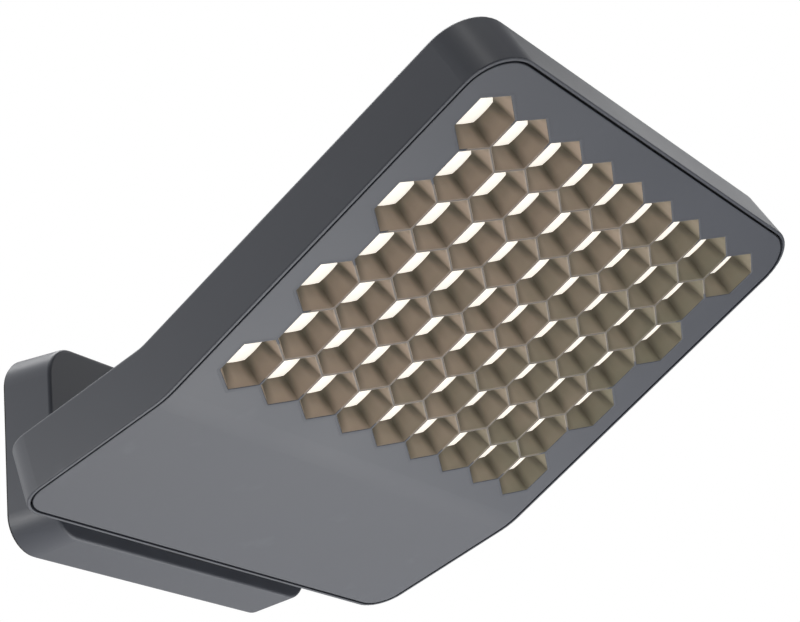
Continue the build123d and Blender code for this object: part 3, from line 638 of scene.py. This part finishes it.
FLOOR = FadingFloor("pale_floor", (0.84, 0.84, 0.84), 0.8, grain_scale=60.0, cloud_scale=1.5,
                    colour_swing=0.01, relief=0.02)
SCREW_METALS = {Slot.STAINLESS: STAINLESS, Slot.PLATED_STEEL: PLATED_STEEL, Slot.BRASS: BRASS}


# Geometry Nodes

@dataclass(frozen=True)
class Ring:
    """One ring of a turned shape: reach to a flat, height, outline, mark and how round its corners are."""

    reach: Operand
    height: Operand
    outline: Outline = Outline.ROUND
    mark: float = 0.0
    rounding: float = 0.0


class ShapeTree(Wiring):
    """Geometry Nodes tree with named inputs for its sizes."""

    def __init__(self, name: str) -> None:
        """Start an empty tree.

        Args:
            name: Name of the tree.
        """
        tree = bpy.data.node_groups.new(name, "GeometryNodeTree")
        for socket, way, kind in (("Geometry", "INPUT", "Geometry"), ("Finish", "INPUT", "Material"),
                                  ("Geometry", "OUTPUT", "Geometry")):
            tree.interface.new_socket(name=socket, in_out=way, socket_type="NodeSocket" + kind)
        super().__init__(tree)
        self.group_in = self.node("NodeGroupInput")
        self.group_out = self.node("NodeGroupOutput")

    def given(self, name: str) -> Socket:
        """Input of the tree by its name."""
        return Socket(self, self.group_in.outputs[name])

    def size(self, name: str) -> Socket:
        """New named input for a size in metres."""
        self.tree.interface.new_socket(name=name, in_out="INPUT", socket_type="NodeSocketFloat")
        return self.given(name)

    def position(self) -> Socket:
        """Place of each point in metres."""
        return self.out("GeometryNodeInputPosition")

    def choose(self, index: Socket, values: list[Operand]) -> Socket:
        """Value by number.

        Args:
            index: Number of the value.
            values: Values to choose from.

        Returns:
            The chosen value.
        """
        made = self.node("GeometryNodeIndexSwitch", data_type="FLOAT")
        while len(made.index_switch_items) < len(values):
            made.index_switch_items.new()
        self.feed(made.inputs["Index"], index)
        for number, value in enumerate(values):
            self.feed(made.inputs[number + 1], value)
        return Socket(self, made.outputs[0])

    def keep(self, shape: Socket, name: str, value: Operand, where: Operand = True,
             kind: str = "FLOAT") -> Socket:
        """Shape with a number or a vector stored under a name on all of its points, or on some."""
        sockets = {"Geometry": shape, "Selection": where, "Name": name, "Value": value}
        return self.out("GeometryNodeStoreNamedAttribute", sockets, data_type=kind, domain="POINT")

    def turned(self, segments: int, rings: list[Ring]) -> Socket:
        """Shape of rings on the Z axis, joined one to the next.

        Args:
            segments: Sides of each ring in the mesh.
            rings: Rings from the lower end to the upper.

        Returns:
            The shape, with its marks stored.
        """
        sockets = {"Size X": 1.0, "Size Y": 1.0, "Vertices X": segments + 1, "Vertices Y": len(rings)}
        grid = self.out("GeometryNodeMeshGrid", sockets)
        x, y, _ = self.parts(self.position())
        angle = (x + 0.5) * math.tau
        number = self.maths("ROUND", (y + 0.5) * float(len(rings) - 1))
        row = self.out("FunctionNodeFloatToInt", {0: number}, rounding_mode="ROUND")
        half_side = math.pi / self.choose(row, [float(ring.outline.value) for ring in rings])
        from_flat = (angle + half_side) % (2 * half_side) - half_side
        sharpness = self.choose(row, [1.0 - ring.rounding for ring in rings])
        stretch = 1 + (1 / self.maths("COSINE", from_flat) - 1) * sharpness
        half_sixth = math.tau / 12
        from_side = (angle + half_sixth) % (2 * half_sixth) - half_sixth
        marked = self.keep(grid, "corner", abs(from_side) / half_sixth)
        marked = self.keep(marked, "mark", self.choose(row, [ring.mark for ring in rings]))
        radius = self.choose(row, [ring.reach for ring in rings]) * stretch
        height = self.choose(row, [ring.height for ring in rings])
        place = self.vector(radius * self.maths("COSINE", angle), radius * self.maths("SINE", angle), height)
        return self.out("GeometryNodeSetPosition", {"Geometry": marked, "Position": place})

    def merge(self, shape: Socket) -> Socket:
        """Join points that fall together."""
        return self.out("GeometryNodeMergeByDistance", {"Geometry": shape, "Distance": MERGE_DISTANCE})

    def on_points(self, points: Socket, shape: Socket) -> Socket:
        """The same shape on each of some points."""
        return self.out("GeometryNodeInstanceOnPoints", {"Points": points, "Instance": shape})

    def real(self, shape: Socket) -> Socket:
        """Real geometry of a shape that is made of instances."""
        return self.out("GeometryNodeRealizeInstances", {"Geometry": shape})

    def close(self, shape: Socket) -> None:
        """End the tree with a shape: real geometry with its finish."""
        sockets = {"Geometry": self.real(shape), "Material": self.given("Finish")}
        self.feed(self.group_out.inputs["Geometry"], self.out("GeometryNodeSetMaterial", sockets))

    def mesh(self, name: str, points: list[Vector], sizes: dict[str, float], finish: Finish,
             sharp: float = 35.0) -> Mesh:
        """Plain mesh that the tree gives.

        Args:
            name: Name of the mesh.
            points: Points that the tree starts from.
            sizes: Values of its inputs in metres.
            finish: Finish of the mesh.
            sharp: Angle in degrees from which an edge looks sharp.

        Returns:
            The mesh, with its faces outwards.
        """
        start = bpy.data.meshes.new(name + "_points")
        start.from_pydata(points, [], [])
        holder = bpy.data.objects.new(name + "_holder", start)
        bpy.context.scene.collection.objects.link(holder)
        modifier = holder.modifiers.new(name, "NODES")
        modifier.node_group = self.tree
        values = {**sizes, "Finish": finish.material()}
        for item in self.tree.interface.items_tree:
            if item.in_out == "INPUT" and item.name in values:
                modifier[item.identifier] = values[item.name]
        graph = bpy.context.evaluated_depsgraph_get()
        made = bpy.data.meshes.new_from_object(holder.evaluated_get(graph), preserve_all_data_layers=True,
                                               depsgraph=graph)
        made.name = name
        # The grid that shapes start from brings an empty slot, which goes here.
        made.materials.clear()
        made.materials.append(finish.material())
        holder.modifiers.clear()
        bpy.data.objects.remove(holder)
        turn_outwards(made)
        made.shade_smooth()
        made.set_sharp_from_angle(angle=math.radians(sharp))
        return made


def turn_outwards(mesh: Mesh) -> None:
    """Join a closed mesh's doubles and turn its faces outwards.

    Args:
        mesh: Mesh to mend.
    """
    work = bmesh.new()
    work.from_mesh(mesh)
    bmesh.ops.remove_doubles(work, verts=work.verts, dist=MERGE_DISTANCE / 10)
    bmesh.ops.recalc_face_normals(work, faces=work.faces)
    work.to_mesh(mesh)
    work.free()


def facing(direction: Vector) -> Matrix:
    """Rotation that carries Z to a direction."""
    return direction.to_track_quat("Z", "Y").to_matrix().to_4x4()


def joined(name: str, meshes: list[Mesh]) -> Mesh:
    """One mesh of several that share a finish.

    Args:
        name: Name of the mesh.
        meshes: Meshes to join.

    Returns:
        The joined mesh.
    """
    work = bmesh.new()
    for mesh in meshes:
        work.from_mesh(mesh)
    made = bpy.data.meshes.new(name)
    work.to_mesh(made)
    work.free()
    made.materials.append(meshes[0].materials[0])
    return made


class HoneycombTree(ShapeTree):
    """Geometry Nodes tree that sets tiles on the honeycomb's places."""

    upright_limit: float = 0.05
    band_reach: float = 0.5 * MM
    corner_start: float = 0.99

    def tiles(self, tile: Socket, pitch: Socket) -> Socket:
        """A tile on every place of the honeycomb.

        Args:
            tile: Shape of one tile.
            pitch: Distance between neighbours.

        Returns:
            The tiles as real geometry.
        """
        places = self.node("GeometryNodeJoinGeometry")
        for fewer in (0, 1):
            self.feed(places.inputs[0], self.places(pitch, CELLS.long_count - fewer, CELLS.long_rows - fewer))
        return self.real(self.on_points(Socket(self, places.outputs[0]), tile))

    def places(self, pitch: Socket, count: int, rows: int) -> Socket:
        """Places of every second row: a grid of so many points in so many rows."""
        sockets = {"Size X": pitch * float(count - 1), "Size Y": pitch * (math.sqrt(3) * (rows - 1)),
                   "Vertices X": count, "Vertices Y": rows}
        return self.out("GeometryNodeMeshGrid", sockets)

    def normal_parts(self) -> tuple[Socket, ...]:
        """X, Y and Z of each face's normal."""
        return self.parts(self.out("GeometryNodeInputNormal"))

    def without_inner_sides(self, tiles: Socket, pitch: Socket) -> Socket:
        """Tiles without the sides that meet a neighbour.

        Args:
            tiles: All the tiles.
            pitch: Distance between neighbours.

        Returns:
            The tiles with open joints.
        """
        x, y, _ = self.parts(self.position())
        out_x, out_y, out_z = self.normal_parts()
        reach_x, reach_y = CELLS.half_reach()
        next_x = abs(x + out_x * pitch * 0.5)
        next_y = abs(y + out_y * pitch * 0.5)
        inside = (next_x < pitch * (reach_x / CELLS.pitch)) * (next_y < pitch * (reach_y / CELLS.pitch))
        upright = abs(out_z) < self.upright_limit
        sockets = {"Geometry": tiles, "Selection": inside * upright}
        return self.out("GeometryNodeDeleteGeometry", sockets, domain="FACE")

    def grown(self, shape: Socket, where: Socket, reach: Socket) -> bpy.types.Node:
        """Node that moves some of a shape's faces outwards and walls the way that they moved."""
        sockets = {"Mesh": shape, "Selection": where, "Offset Scale": reach, "Individual": False}
        return self.node("GeometryNodeExtrudeMesh", sockets, mode="FACES")

    def with_rim(self, walls: Socket, rim: Socket, flange: Socket, middle: Socket, lip: Socket) -> Socket:
        """Rim round all the tiles and the flange that stands out of it.

        Args:
            walls: Joined tiles.
            rim: Width of the rim.
            flange: Reach of the flange past the rim.
            middle: Depth of the flange's middle.
            lip: Width of the outline's lip, which takes the rim's mark.

        Returns:
            The whole louvre.
        """
        upright = abs(self.normal_parts()[2]) < self.upright_limit
        sockets = {"Geometry": walls, "Selection": upright}
        sides = self.out("GeometryNodeSeparateGeometry", sockets, domain="FACE")
        to_side = self.out("GeometryNodeProximity", {0: sides}, "Distance", target_element="FACES")
        coated = self.keep(walls, "mark", -1.0, to_side < lip)
        seated = self.keep(coated, "seat", self.position(), kind="FLOAT_VECTOR")
        skirt = self.grown(seated, upright, rim)
        top = Socket(self, skirt.outputs["Top"])
        marked = self.keep(self.with_full_corners(Socket(self, skirt.outputs["Mesh"])), "mark", -1.0, top)
        depth = self.parts(self.position())[2]
        band = top * (abs(depth - middle) < self.band_reach)
        return Socket(self, self.grown(marked, band, flange).outputs["Mesh"])

    def with_full_corners(self, skirt: Socket) -> Socket:
        """Rim whose corners stand out as far as its sides.

        Args:
            skirt: Tiles with their rim, whose corners were moved by the mean of two sides.

        Returns:
            The corrected shape.
        """
        reach_of_mean = math.cos(math.pi / 6) ** 2
        seat = self.out("GeometryNodeInputNamedAttribute", {"Name": "seat"}, data_type="FLOAT_VECTOR")
        corner = self.out("GeometryNodeInputNamedAttribute", {"Name": "corner"}, data_type="FLOAT")
        moved = self.out("ShaderNodeVectorMath", {0: self.position(), 1: seat}, operation="SUBTRACT")
        full = self.out("ShaderNodeVectorMath", {0: moved, "Scale": 1 / reach_of_mean}, operation="SCALE")
        target = self.out("ShaderNodeVectorMath", {0: seat, 1: full}, operation="ADD")
        sockets = {"Geometry": skirt, "Selection": corner > self.corner_start, "Position": target}
        squared = self.out("GeometryNodeSetPosition", sockets)
        return self.out("GeometryNodeRemoveAttribute", {"Geometry": squared, "Name": "seat"})


@dataclass(frozen=True)
class ScrewSize:
    """Socket screw in millimetres: shank, head and length under the head."""

    shank: float
    head: float
    head_height: float
    length: float
    socket_share: float = 0.9
    socket_depth: float = 1.0
    edge: float = 0.35

    def inputs(self) -> dict[str, float]:
        """Sizes of the screw tree in metres."""
        return in_metres({"Shank radius": self.shank, "Head radius": self.head,
                          "Head height": self.head_height, "Length": self.length,
                          "Socket": self.shank * self.socket_share, "Socket depth": self.socket_depth,
                          "Edge": self.edge})


class ScrewMaker:
    """Geometry Nodes tree that puts one socket screw on each of its points."""

    segments: int = 24
    corner_share: float = 0.3
    floor_dip: float = 0.5

    def __init__(self) -> None:
        """Build the tree: a turned screw on Z, its head standing on the point."""
        tree = ShapeTree("socket_screws")
        shank, head, head_height, length, socket, socket_depth, edge = (
            tree.size(name) for name in ScrewSize(1, 1, 1, 1).inputs())
        floor = head_height - socket_depth
        corner = edge * self.corner_share
        rings = [
            Ring(0.0, 0.0 - length),
            Ring(shank - edge, 0.0 - length),
            Ring(shank, edge - length),
            Ring(shank, 0.0),
            Ring(head, 0.0),
            Ring(head, head_height - edge),
            Ring(head - corner, head_height - corner),
            Ring(head - edge, head_height),
            Ring(socket + corner, head_height),
            Ring(socket, head_height - corner, Outline.HEXAGON),
            Ring(socket, floor, Outline.HEXAGON),
            Ring(0.0, floor - edge * self.floor_dip),
        ]
        screw = tree.merge(tree.turned(self.segments, rings))
        tree.close(tree.on_points(tree.given("Geometry"), screw))
        self.tree = tree

    def mesh(self, name: str, size: ScrewSize, way: Vector, seats: list[Vector],
             finish: Finish) -> Mesh:
        """Screws of one size that point the same way.

        Args:
            name: Name of the mesh.
            size: Size of the screws.
            way: Way that the heads face.
            seats: Points under the heads in metres.
            finish: Finish of the screws.

        Returns:
            The mesh in the light's frame.
        """
        turn = facing(way)
        made = self.tree.mesh(name, [turn.inverted() @ seat for seat in seats], size.inputs(), finish)
        made.transform(turn)
        return made


# Pieces

class SubAssembly:
    """Group of pieces that are built and dressed together."""

    def give(self, finishes: dict[str, Finish]) -> None:
        """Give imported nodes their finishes.

        Args:
            finishes: Finish of each node.
        """
        for node, finish in finishes.items():
            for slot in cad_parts[node].material_slots:
                slot.material = finish.material()
            LOG.info("dressed %s", node)

    def add(self, mesh: Mesh, body: Body, slot: Slot, node: str) -> None:
        """Put a new piece in a node's place.

        Args:
            mesh: Finished mesh in the light's frame.
            body: Body that it moves with.
            slot: Not used.
            node: Node that it stands for.
        """
        piece = bpy.data.objects.new(mesh.name, mesh)
        bpy.context.scene.collection.objects.link(piece)
        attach(piece, body.value)
        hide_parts(node)
        LOG.info("built %s: %d faces", piece.name, len(mesh.polygons))


@dataclass
class ScrewedAssembly(SubAssembly):
    """Group of pieces with screws."""

    screws: ScrewMaker

    def add_screws(self, name: str, size: ScrewSize, rows: list[tuple[Vector, list[Vector]]], body: Body,
                   slot: Slot, node: str) -> None:
        """Put new screws in a node's place.

        Args:
            name: Name of the piece.
            size: Size of the screws.
            rows: Ways that heads face, each with the points under those heads in metres.
            body: Body that they move with.
            slot: Finish slot that they take.
            node: Node that they stand for.
        """
        metal = SCREW_METALS[slot]
        meshes = [self.screws.mesh(name + "_row", size, way, seats, metal) for way, seats in rows]
        self.add(joined(name, meshes), body, slot, node)


@dataclass
class WallSide(ScrewedAssembly):
    """Wall box with its plate, seals, cable entry and terminals, in millimetres."""

    tab_across: float = 48.0
    box_screw_line: float = 7.0
    box_screw_seat: float = 33.409
    box_screw: ScrewSize = ScrewSize(2.0, 3.5, 1.4, 4.229)
    earth_across: float = 42.0
    earth_height: float = -14.0
    earth_seat: float = 2.8
    earth_screw: ScrewSize = ScrewSize(2.0, 3.5, 2.6, 2.8)

    def build(self) -> None:
        """Make the screws that hold the box and the earth lug."""
        seats = [Vector((side * self.tab_across, -self.box_screw_line, self.box_screw_seat)) * MM
                 for side in BOTH_SIDES]
        self.add_screws("box_cap_screws", self.box_screw, [(Vector((0, 0, 1)), seats)],
                        Body.BASE, Slot.STAINLESS, "box_screws")
        seat = Vector((self.earth_across, -self.earth_seat, self.earth_height)) * MM
        self.add_screws("earth_cap_screw", self.earth_screw, [(Vector((0, -1, 0)), [seat])],
                        Body.BASE, Slot.BRASS, "earth_screw")

    def dress(self) -> None:
        """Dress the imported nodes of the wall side."""
        self.give({
            "wall_plate": PLATED_STEEL,
            "wall_gasket": RUBBER,
            "wall_box": COAT,
            "cable_grommet": RUBBER,
            "terminal_block": WHITE_PLASTIC,
            "terminal_inserts": BRASS,
            "terminal_screws": PLATED_STEEL,
            "earth_lug": BRASS,
            "supply_lead": CABLE,
        })


@dataclass
class Hinge(ScrewedAssembly):
    """Arm on the box, yoke in the head and the bolts that join them, in millimetres."""

    pivot_y: float = -36.0
    pivot_z: float = -20.2
    bolt_seat: float = 27.2
    bolt: ScrewSize = ScrewSize(3.0, 5.0, 4.0, 19.2, socket_depth=2.2, edge=0.5)
    arm_screw_across: float = 23.5
    arm_screw_offset: float = 5.5
    arm_screw_seat: float = 17.2
    arm_screw: ScrewSize = ScrewSize(2.0, 3.5, 2.6, 7.0)
    yoke_screw_across: float = 13.0
    yoke_screw_seat: float = 43.2
    pivot_depth: float = 12.0
    yoke_screw: ScrewSize = ScrewSize(2.0, 3.5, 2.6, 5.5)

    def build(self) -> None:
        """Make the pivot bolts and the screws of the arm and the yoke."""
        bolts = [(Vector((side, 0, 0)), [Vector((side * self.bolt_seat, self.pivot_y, self.pivot_z)) * MM])
                 for side in BOTH_SIDES]
        self.add_screws("pivot_cap_bolts", self.bolt, bolts, Body.BASE, Slot.STAINLESS, "pivot_bolts")
        seats = [Vector((side * self.arm_screw_across, -self.arm_screw_seat, self.pivot_z + up)) * MM
                 for side in BOTH_SIDES for up in (-self.arm_screw_offset, self.arm_screw_offset)]
        self.add_screws("arm_cap_screws", self.arm_screw, [(Vector((0, 1, 0)), seats)],
                        Body.BASE, Slot.STAINLESS, "arm_screws")
        seats = [INNER.point(side * self.yoke_screw_across, self.yoke_screw_seat, self.pivot_depth)
                 for side in BOTH_SIDES]
        self.add_screws("yoke_cap_screws", self.yoke_screw, [(-INNER.along_direction(), seats)],
                        Body.HEAD, Slot.STAINLESS, "yoke_screws")

    def dress(self) -> None:
        """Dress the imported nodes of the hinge."""
        self.give({
            "hinge_arm": COAT,
            "arm_seal": RUBBER,
            "friction_washers": WASHER,
            "pivot_washers": STAINLESS,
            "hinge_yoke": COAT,
            "lead_grommet": RUBBER,
            "head_lead": CABLE,
        })


@dataclass
class HeadShell(ScrewedAssembly):
    """Bent housing with its panel, seal, screws and breather vent, in millimetres."""

    post_across: float = 88.5
    post_rows: tuple[int, ...] = (1, 3, 5)
    rear_post: float = 50.0
    screw_seat: float = 18.8
    panel_screw: ScrewSize = ScrewSize(1.5, 2.75, 2.0, 14.3, edge=0.3)
    vent_across: float = 62.0
    vent_along: float = 50.0
    vent_foot: float = 17.3
    vent_seat: float = 20.8
    vent_thread: float = 6.0
    vent_cap: float = 8.5
    vent_height: float = 3.5
    vent_segments: int = 48

    def build(self) -> None:
        """Make the panel screws and the vent."""
        outer_seats = [OUTER.point(side * self.post_across, CELLS.row_along(row), self.screw_seat)
                       for row in self.post_rows for side in BOTH_SIDES]
        inner_seats = [INNER.point(side * self.post_across, self.rear_post, self.screw_seat)
                       for side in BOTH_SIDES]
        rows = [(OUTER.depth_direction(), outer_seats), (INNER.depth_direction(), inner_seats)]
        self.add_screws("panel_cap_screws", self.panel_screw, rows, Body.HEAD, Slot.STAINLESS, "panel_screws")
        self.add(self.vent_mesh(), Body.HEAD, Slot.BLACK_PLASTIC, "breather_vent")

    def vent_mesh(self) -> Mesh:
        """Vent with a gripped cap and a raised ring on its top.

        Returns:
            The mesh in the light's frame.
        """
        sizes = in_metres({"Thread radius": self.vent_thread, "Cap radius": self.vent_cap,
                           "Thread length": self.vent_seat - self.vent_foot, "Cap height": self.vent_height})
        tree = ShapeTree("breather_vent")
        thread, cap, foot, height = (tree.size(name) for name in sizes)
        flat = cap * math.cos(math.pi / Outline.GRIP.value)
        rings = [
            Ring(0.0, 0.0 - foot),
            Ring(thread, 0.0 - foot),
            Ring(thread, 0.0),
            Ring(cap * 0.95, 0.0),
            Ring(flat, height * 0.12, Outline.GRIP),
            Ring(flat, height * 0.66, Outline.GRIP),
            Ring(flat * 0.97, height * 0.82, Outline.GRIP),
            Ring(cap * 0.84, height * 0.96),
            Ring(cap * 0.78, height),
            Ring(cap * 0.62, height),
            Ring(cap * 0.57, height * 0.8),
            Ring(cap * 0.3, height * 0.8),
            Ring(cap * 0.24, height * 0.94),
            Ring(0.0, height * 0.97),
        ]
        tree.close(tree.merge(tree.turned(self.vent_segments, rings)))
        made = tree.mesh("vent_cap", AT_ORIGIN, sizes, BLACK_PLASTIC)
        shift = Matrix.Translation(Vector((self.vent_across, self.vent_along, self.vent_seat)) * MM)
        made.transform(INNER.matrix() @ shift)
        return made

    def dress(self) -> None:
        """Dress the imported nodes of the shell."""
        self.give({"head_housing": COAT, "front_panel": COAT, "panel_gasket": RUBBER})


@dataclass
class HoneycombLouvre(SubAssembly):
    """Moulded louvre of tapered cells with rounded lips and a flange behind the panel, in millimetres."""

    face_depth: float = 0.0
    back_depth: float = 9.2
    cell_wall: float = 1.0
    throat: float = 15.2
    throat_rounding: float = 0.35
    rim: float = 0.78
    flange: float = 2.72
    flange_start: float = 2.8
    flange_end: float = 4.8
    coated_lip: float = 0.42
    segments: int = 24
    sharp: float = 52.0

    def build(self) -> None:
        """Make the louvre and put it in its place behind the panel."""
        made = self.tree().mesh("louvre_cells", AT_ORIGIN, self.inputs(), LOUVRE, self.sharp)
        made.transform(OUTER.matrix() @ Matrix.Translation(Vector((0, CELLS.middle(), 0)) * MM))
        self.add(made, Body.HEAD, Slot.LOUVRE, "honeycomb_louvre")

    def inputs(self) -> dict[str, float]:
        """Sizes of the louvre tree in metres."""
        return in_metres({"Pitch": CELLS.pitch, "Wall": self.cell_wall, "Throat": self.throat,
                          "Face": self.face_depth, "Back": self.back_depth, "Flange start": self.flange_start,
                          "Flange end": self.flange_end, "Rim": self.rim, "Flange": self.flange,
                          "Coated lip": self.coated_lip})

    def tree(self) -> HoneycombTree:
        """Tree that sets one tapered tile on each place of the grid, and grows the rim and flange round them.

        Returns:
            The tree.
        """
        tree = HoneycombTree("honeycomb_louvre")
        pitch, wall, throat, face, back, flange_start, flange_end, rim, flange, lip = (
            tree.size(name) for name in self.inputs())
        side = pitch / 2
        mouth = (pitch - wall) / 2
        # Rows: reach, depth, the mark that sets the painted depth shade, lips and rim in the louvre finish, and
        # corner rounding.
        profile = [
            (side, flange_start, 0.3, 0.0),
            (side, flange_end, 0.5, 0.0),
            (side, back, 1.0, 0.0),
            (throat / 2, back, 1.0, self.throat_rounding),
            (mouth - wall * 0.03, face + wall * 0.5, 0.08, 0.0),
            (mouth + wall * 0.02, face + wall * 0.24, 0.04, 0.0),
            (mouth + wall * 0.14, face + wall * 0.07, 0.02, 0.0),
            (mouth + wall * 0.36, face, 0.01, 0.0),
            (side, face, 0.0, 0.0),
            (side, flange_start, 0.3, 0.0),
        ]
        rings = [Ring(reach, depth, Outline.HEXAGON, mark, rounding)
                 for reach, depth, mark, rounding in profile]
        tiles = tree.tiles(tree.turned(self.segments, rings), pitch)
        walls = tree.merge(tree.without_inner_sides(tiles, pitch))
        tree.close(tree.with_rim(walls, rim, flange, (flange_start + flange_end) / 2, lip))
        return tree

    def dress(self) -> None:
        """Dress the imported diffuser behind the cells."""
        self.give({"diffuser": OPAL})


@dataclass
class LightEngine(ScrewedAssembly):
    """LEDs, board, driver and wires inside the head, in millimetres."""

    board_face: float = 15.2
    led_size: float = 3.0
    led_height: float = 1.0
    led_segments: int = 8
    board_screw: ScrewSize = ScrewSize(1.5, 2.75, 2.0, 4.1, edge=0.3)
    board_screw_across: float = 60.0
    board_screw_rows: tuple[int, ...] = (1, 5)
    ceiling: float = 17.3
    ear_thickness: float = 1.5
    driver_screw: ScrewSize = ScrewSize(1.5, 2.75, 2.0, 3.5, edge=0.3)
    driver_screw_across: float = 79.5
    driver_middle: float = 21.7

    def build(self) -> None:
        """Make the LEDs and the screws of the board and the driver."""
        self.add(self.led_mesh(), Body.HEAD, Slot.LED, "leds")
        seats = [OUTER.point(place * self.board_screw_across, CELLS.row_along(row), self.board_face)
                 for row in self.board_screw_rows for place in (-1, 0, 1)]
        self.add_screws("board_cap_screws", self.board_screw, [(-OUTER.depth_direction(), seats)],
                        Body.HEAD, Slot.PLATED_STEEL, "board_screws")
        ear_face = self.ceiling - self.ear_thickness
        seats = [INNER.point(side * self.driver_screw_across, self.driver_middle, ear_face)
                 for side in BOTH_SIDES]
        self.add_screws("driver_cap_screws", self.driver_screw, [(-INNER.depth_direction(), seats)],
                        Body.HEAD, Slot.PLATED_STEEL, "driver_screws")

    def led_mesh(self) -> Mesh:
        """Square packages with a round lens, one under each cell.

        Returns:
            The mesh in the light's frame.
        """
        sizes = in_metres({"Size": self.led_size, "Height": self.led_height, "Pitch": CELLS.pitch})
        tree = HoneycombTree("led_packages")
        size, height, pitch = (tree.size(name) for name in sizes)
        half = size / 2
        rings = [
            Ring(0.0, 0.0, Outline.SQUARE),
            Ring(half, 0.0, Outline.SQUARE),
            Ring(half, height * 0.7, Outline.SQUARE),
            Ring(half * 0.94, height * 0.8, Outline.SQUARE),
            Ring(half * 0.8, height * 0.8),
            Ring(half * 0.76, height * 0.72, mark=1.0),
            Ring(half * 0.45, height * 0.93, mark=1.0),
            Ring(0.0, height, mark=1.0),
        ]
        tree.close(tree.tiles(tree.merge(tree.turned(self.led_segments, rings)), pitch))
        made = tree.mesh("led_packages", AT_ORIGIN, sizes, LED)
        flip = Matrix.Rotation(math.pi, 4, "X")
        shift = Matrix.Translation(Vector((0, CELLS.middle(), self.board_face)) * MM)
        made.transform(OUTER.matrix() @ shift @ flip)
        return made

    def dress(self) -> None:
        """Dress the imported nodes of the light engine."""
        self.give({
            "spacer_frame": WHITE_PLASTIC,
            "led_board": BOARD,
            "thermal_pad": PAD,
            "led_connector": WHITE_PLASTIC,
            "led_driver": BLACK_PLASTIC,
            "led_leads": WIRE,
        })


# Studio

@dataclass(frozen=True)
class Softbox:
    """Square area light that faces the head: its place, its side in metres and its power in watts."""

    name: str
    place: Place
    side: float
    power: float
    target: Place = (0.0, -0.12, 0.0)

    def build(self) -> None:
        """Put the light in the scene."""
        light = bpy.data.lights.new(self.name, "AREA")
        light.shape = "SQUARE"
        light.size = self.side
        light.energy = self.power
        lamp = bpy.data.objects.new(self.name, light)
        lamp.location = self.place
        lamp.rotation_euler = (Vector(self.target) - Vector(self.place)).to_track_quat("-Z", "Y").to_euler()
        lamp.visible_camera = False
        bpy.context.scene.collection.objects.link(lamp)
        LOG.info("lit %s", self.name)


SOFTBOXES = (
    Softbox("below_right", (0.6, 0.15, -0.5), 0.8, 1.1),
    Softbox("below", (0.12, -0.18, -0.56), 0.8, 4.4),
    Softbox("front", (0.3, -1.4, -0.05), 0.6, 2.5),
    Softbox("front_high", (0.7, -1.0, 0.6), 0.6, 0.95),
    Softbox("right_high", (0.95, -0.4, 0.7), 0.5, 1.4),
    Softbox("near_left", (-0.35, 0.15, -0.05), 0.12, 0.35),
    Softbox("corner_streak", (-0.47, -0.43, 0.85), 0.12, 0.6),
    Softbox("backdrop", (-0.5, 1.1, 0.3), 2.2, 12.0),
    Softbox("overhead", (0.1, 0.3, 1.5), 1.2, 26.5),
)


@dataclass
class Studio:
    """Pale floor, white surround, soft lights and the camera, in metres; lens and sensor in millimetres."""

    floor_height: float = -0.6
    floor_side: float = 4.0
    surround: float = 0.18
    lens: float = 97.67
    sensor: float = 36.0
    nearest: float = 0.01
    eye: Place = (-0.57753, -0.48240, -0.25066)
    right: Place = (0.56463, -0.81966, -0.09673)
    up: Place = (-0.26780, -0.29280, 0.91791)
    forward: Place = (0.78069, 0.49237, 0.38483)

    def build(self) -> None:
        """Make the studio."""
        self.build_floor()
        self.build_surround()
        for softbox in SOFTBOXES:
            softbox.build()
        self.build_camera()
        bpy.context.scene.view_settings.view_transform = "Standard"

    def build_floor(self) -> None:
        """Lay the pale floor."""
        half = self.floor_side / 2
        corners = [(-half, -half), (half, -half), (half, half), (-half, half)]
        mesh = bpy.data.meshes.new("floor")
        mesh.from_pydata([(x, y, self.floor_height) for x, y in corners], [], [(0, 1, 2, 3)])
        mesh.materials.append(FLOOR.material())
        floor = bpy.data.objects.new("floor", mesh)
        bpy.context.scene.collection.objects.link(floor)

    def build_surround(self) -> None:
        """Surround that is white to look at and dimmer as a light."""
        world = bpy.data.worlds.new("studio")
        world.use_nodes = True
        world.node_tree.nodes.clear()
        wiring = Wiring(world.node_tree)
        seen = wiring.out("ShaderNodeLightPath", output="Is Camera Ray")
        strength = self.surround + seen * (1.0 - self.surround)
        background = wiring.out("ShaderNodeBackground", {"Color": (1, 1, 1, 1), "Strength": strength})
        output = wiring.node("ShaderNodeOutputWorld")
        wiring.feed(output.inputs["Surface"], background)
        bpy.context.scene.world = world

    def build_camera(self) -> None:
        """Set the camera at the photograph's angle."""
        data = bpy.data.cameras.new("camera")
        data.lens = self.lens
        data.sensor_width = self.sensor
        data.clip_start = self.nearest
        camera = bpy.data.objects.new("camera", data)
        turn = Matrix((self.right, self.up, -Vector(self.forward))).transposed().to_4x4()
        camera.matrix_world = Matrix.Translation(self.eye) @ turn
        bpy.context.scene.collection.objects.link(camera)
        bpy.context.scene.camera = camera


def main() -> None:
    """Build and dress the light, then the studio."""
    logging.basicConfig(level=logging.INFO, format="%(name)s: %(message)s")
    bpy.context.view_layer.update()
    screws = ScrewMaker()
    for group in (HoneycombLouvre(), HeadShell(screws), LightEngine(screws), Hinge(screws), WallSide(screws)):
        group.build()
        group.dress()
    Studio().build()


if __name__ == "__main__":
    main()
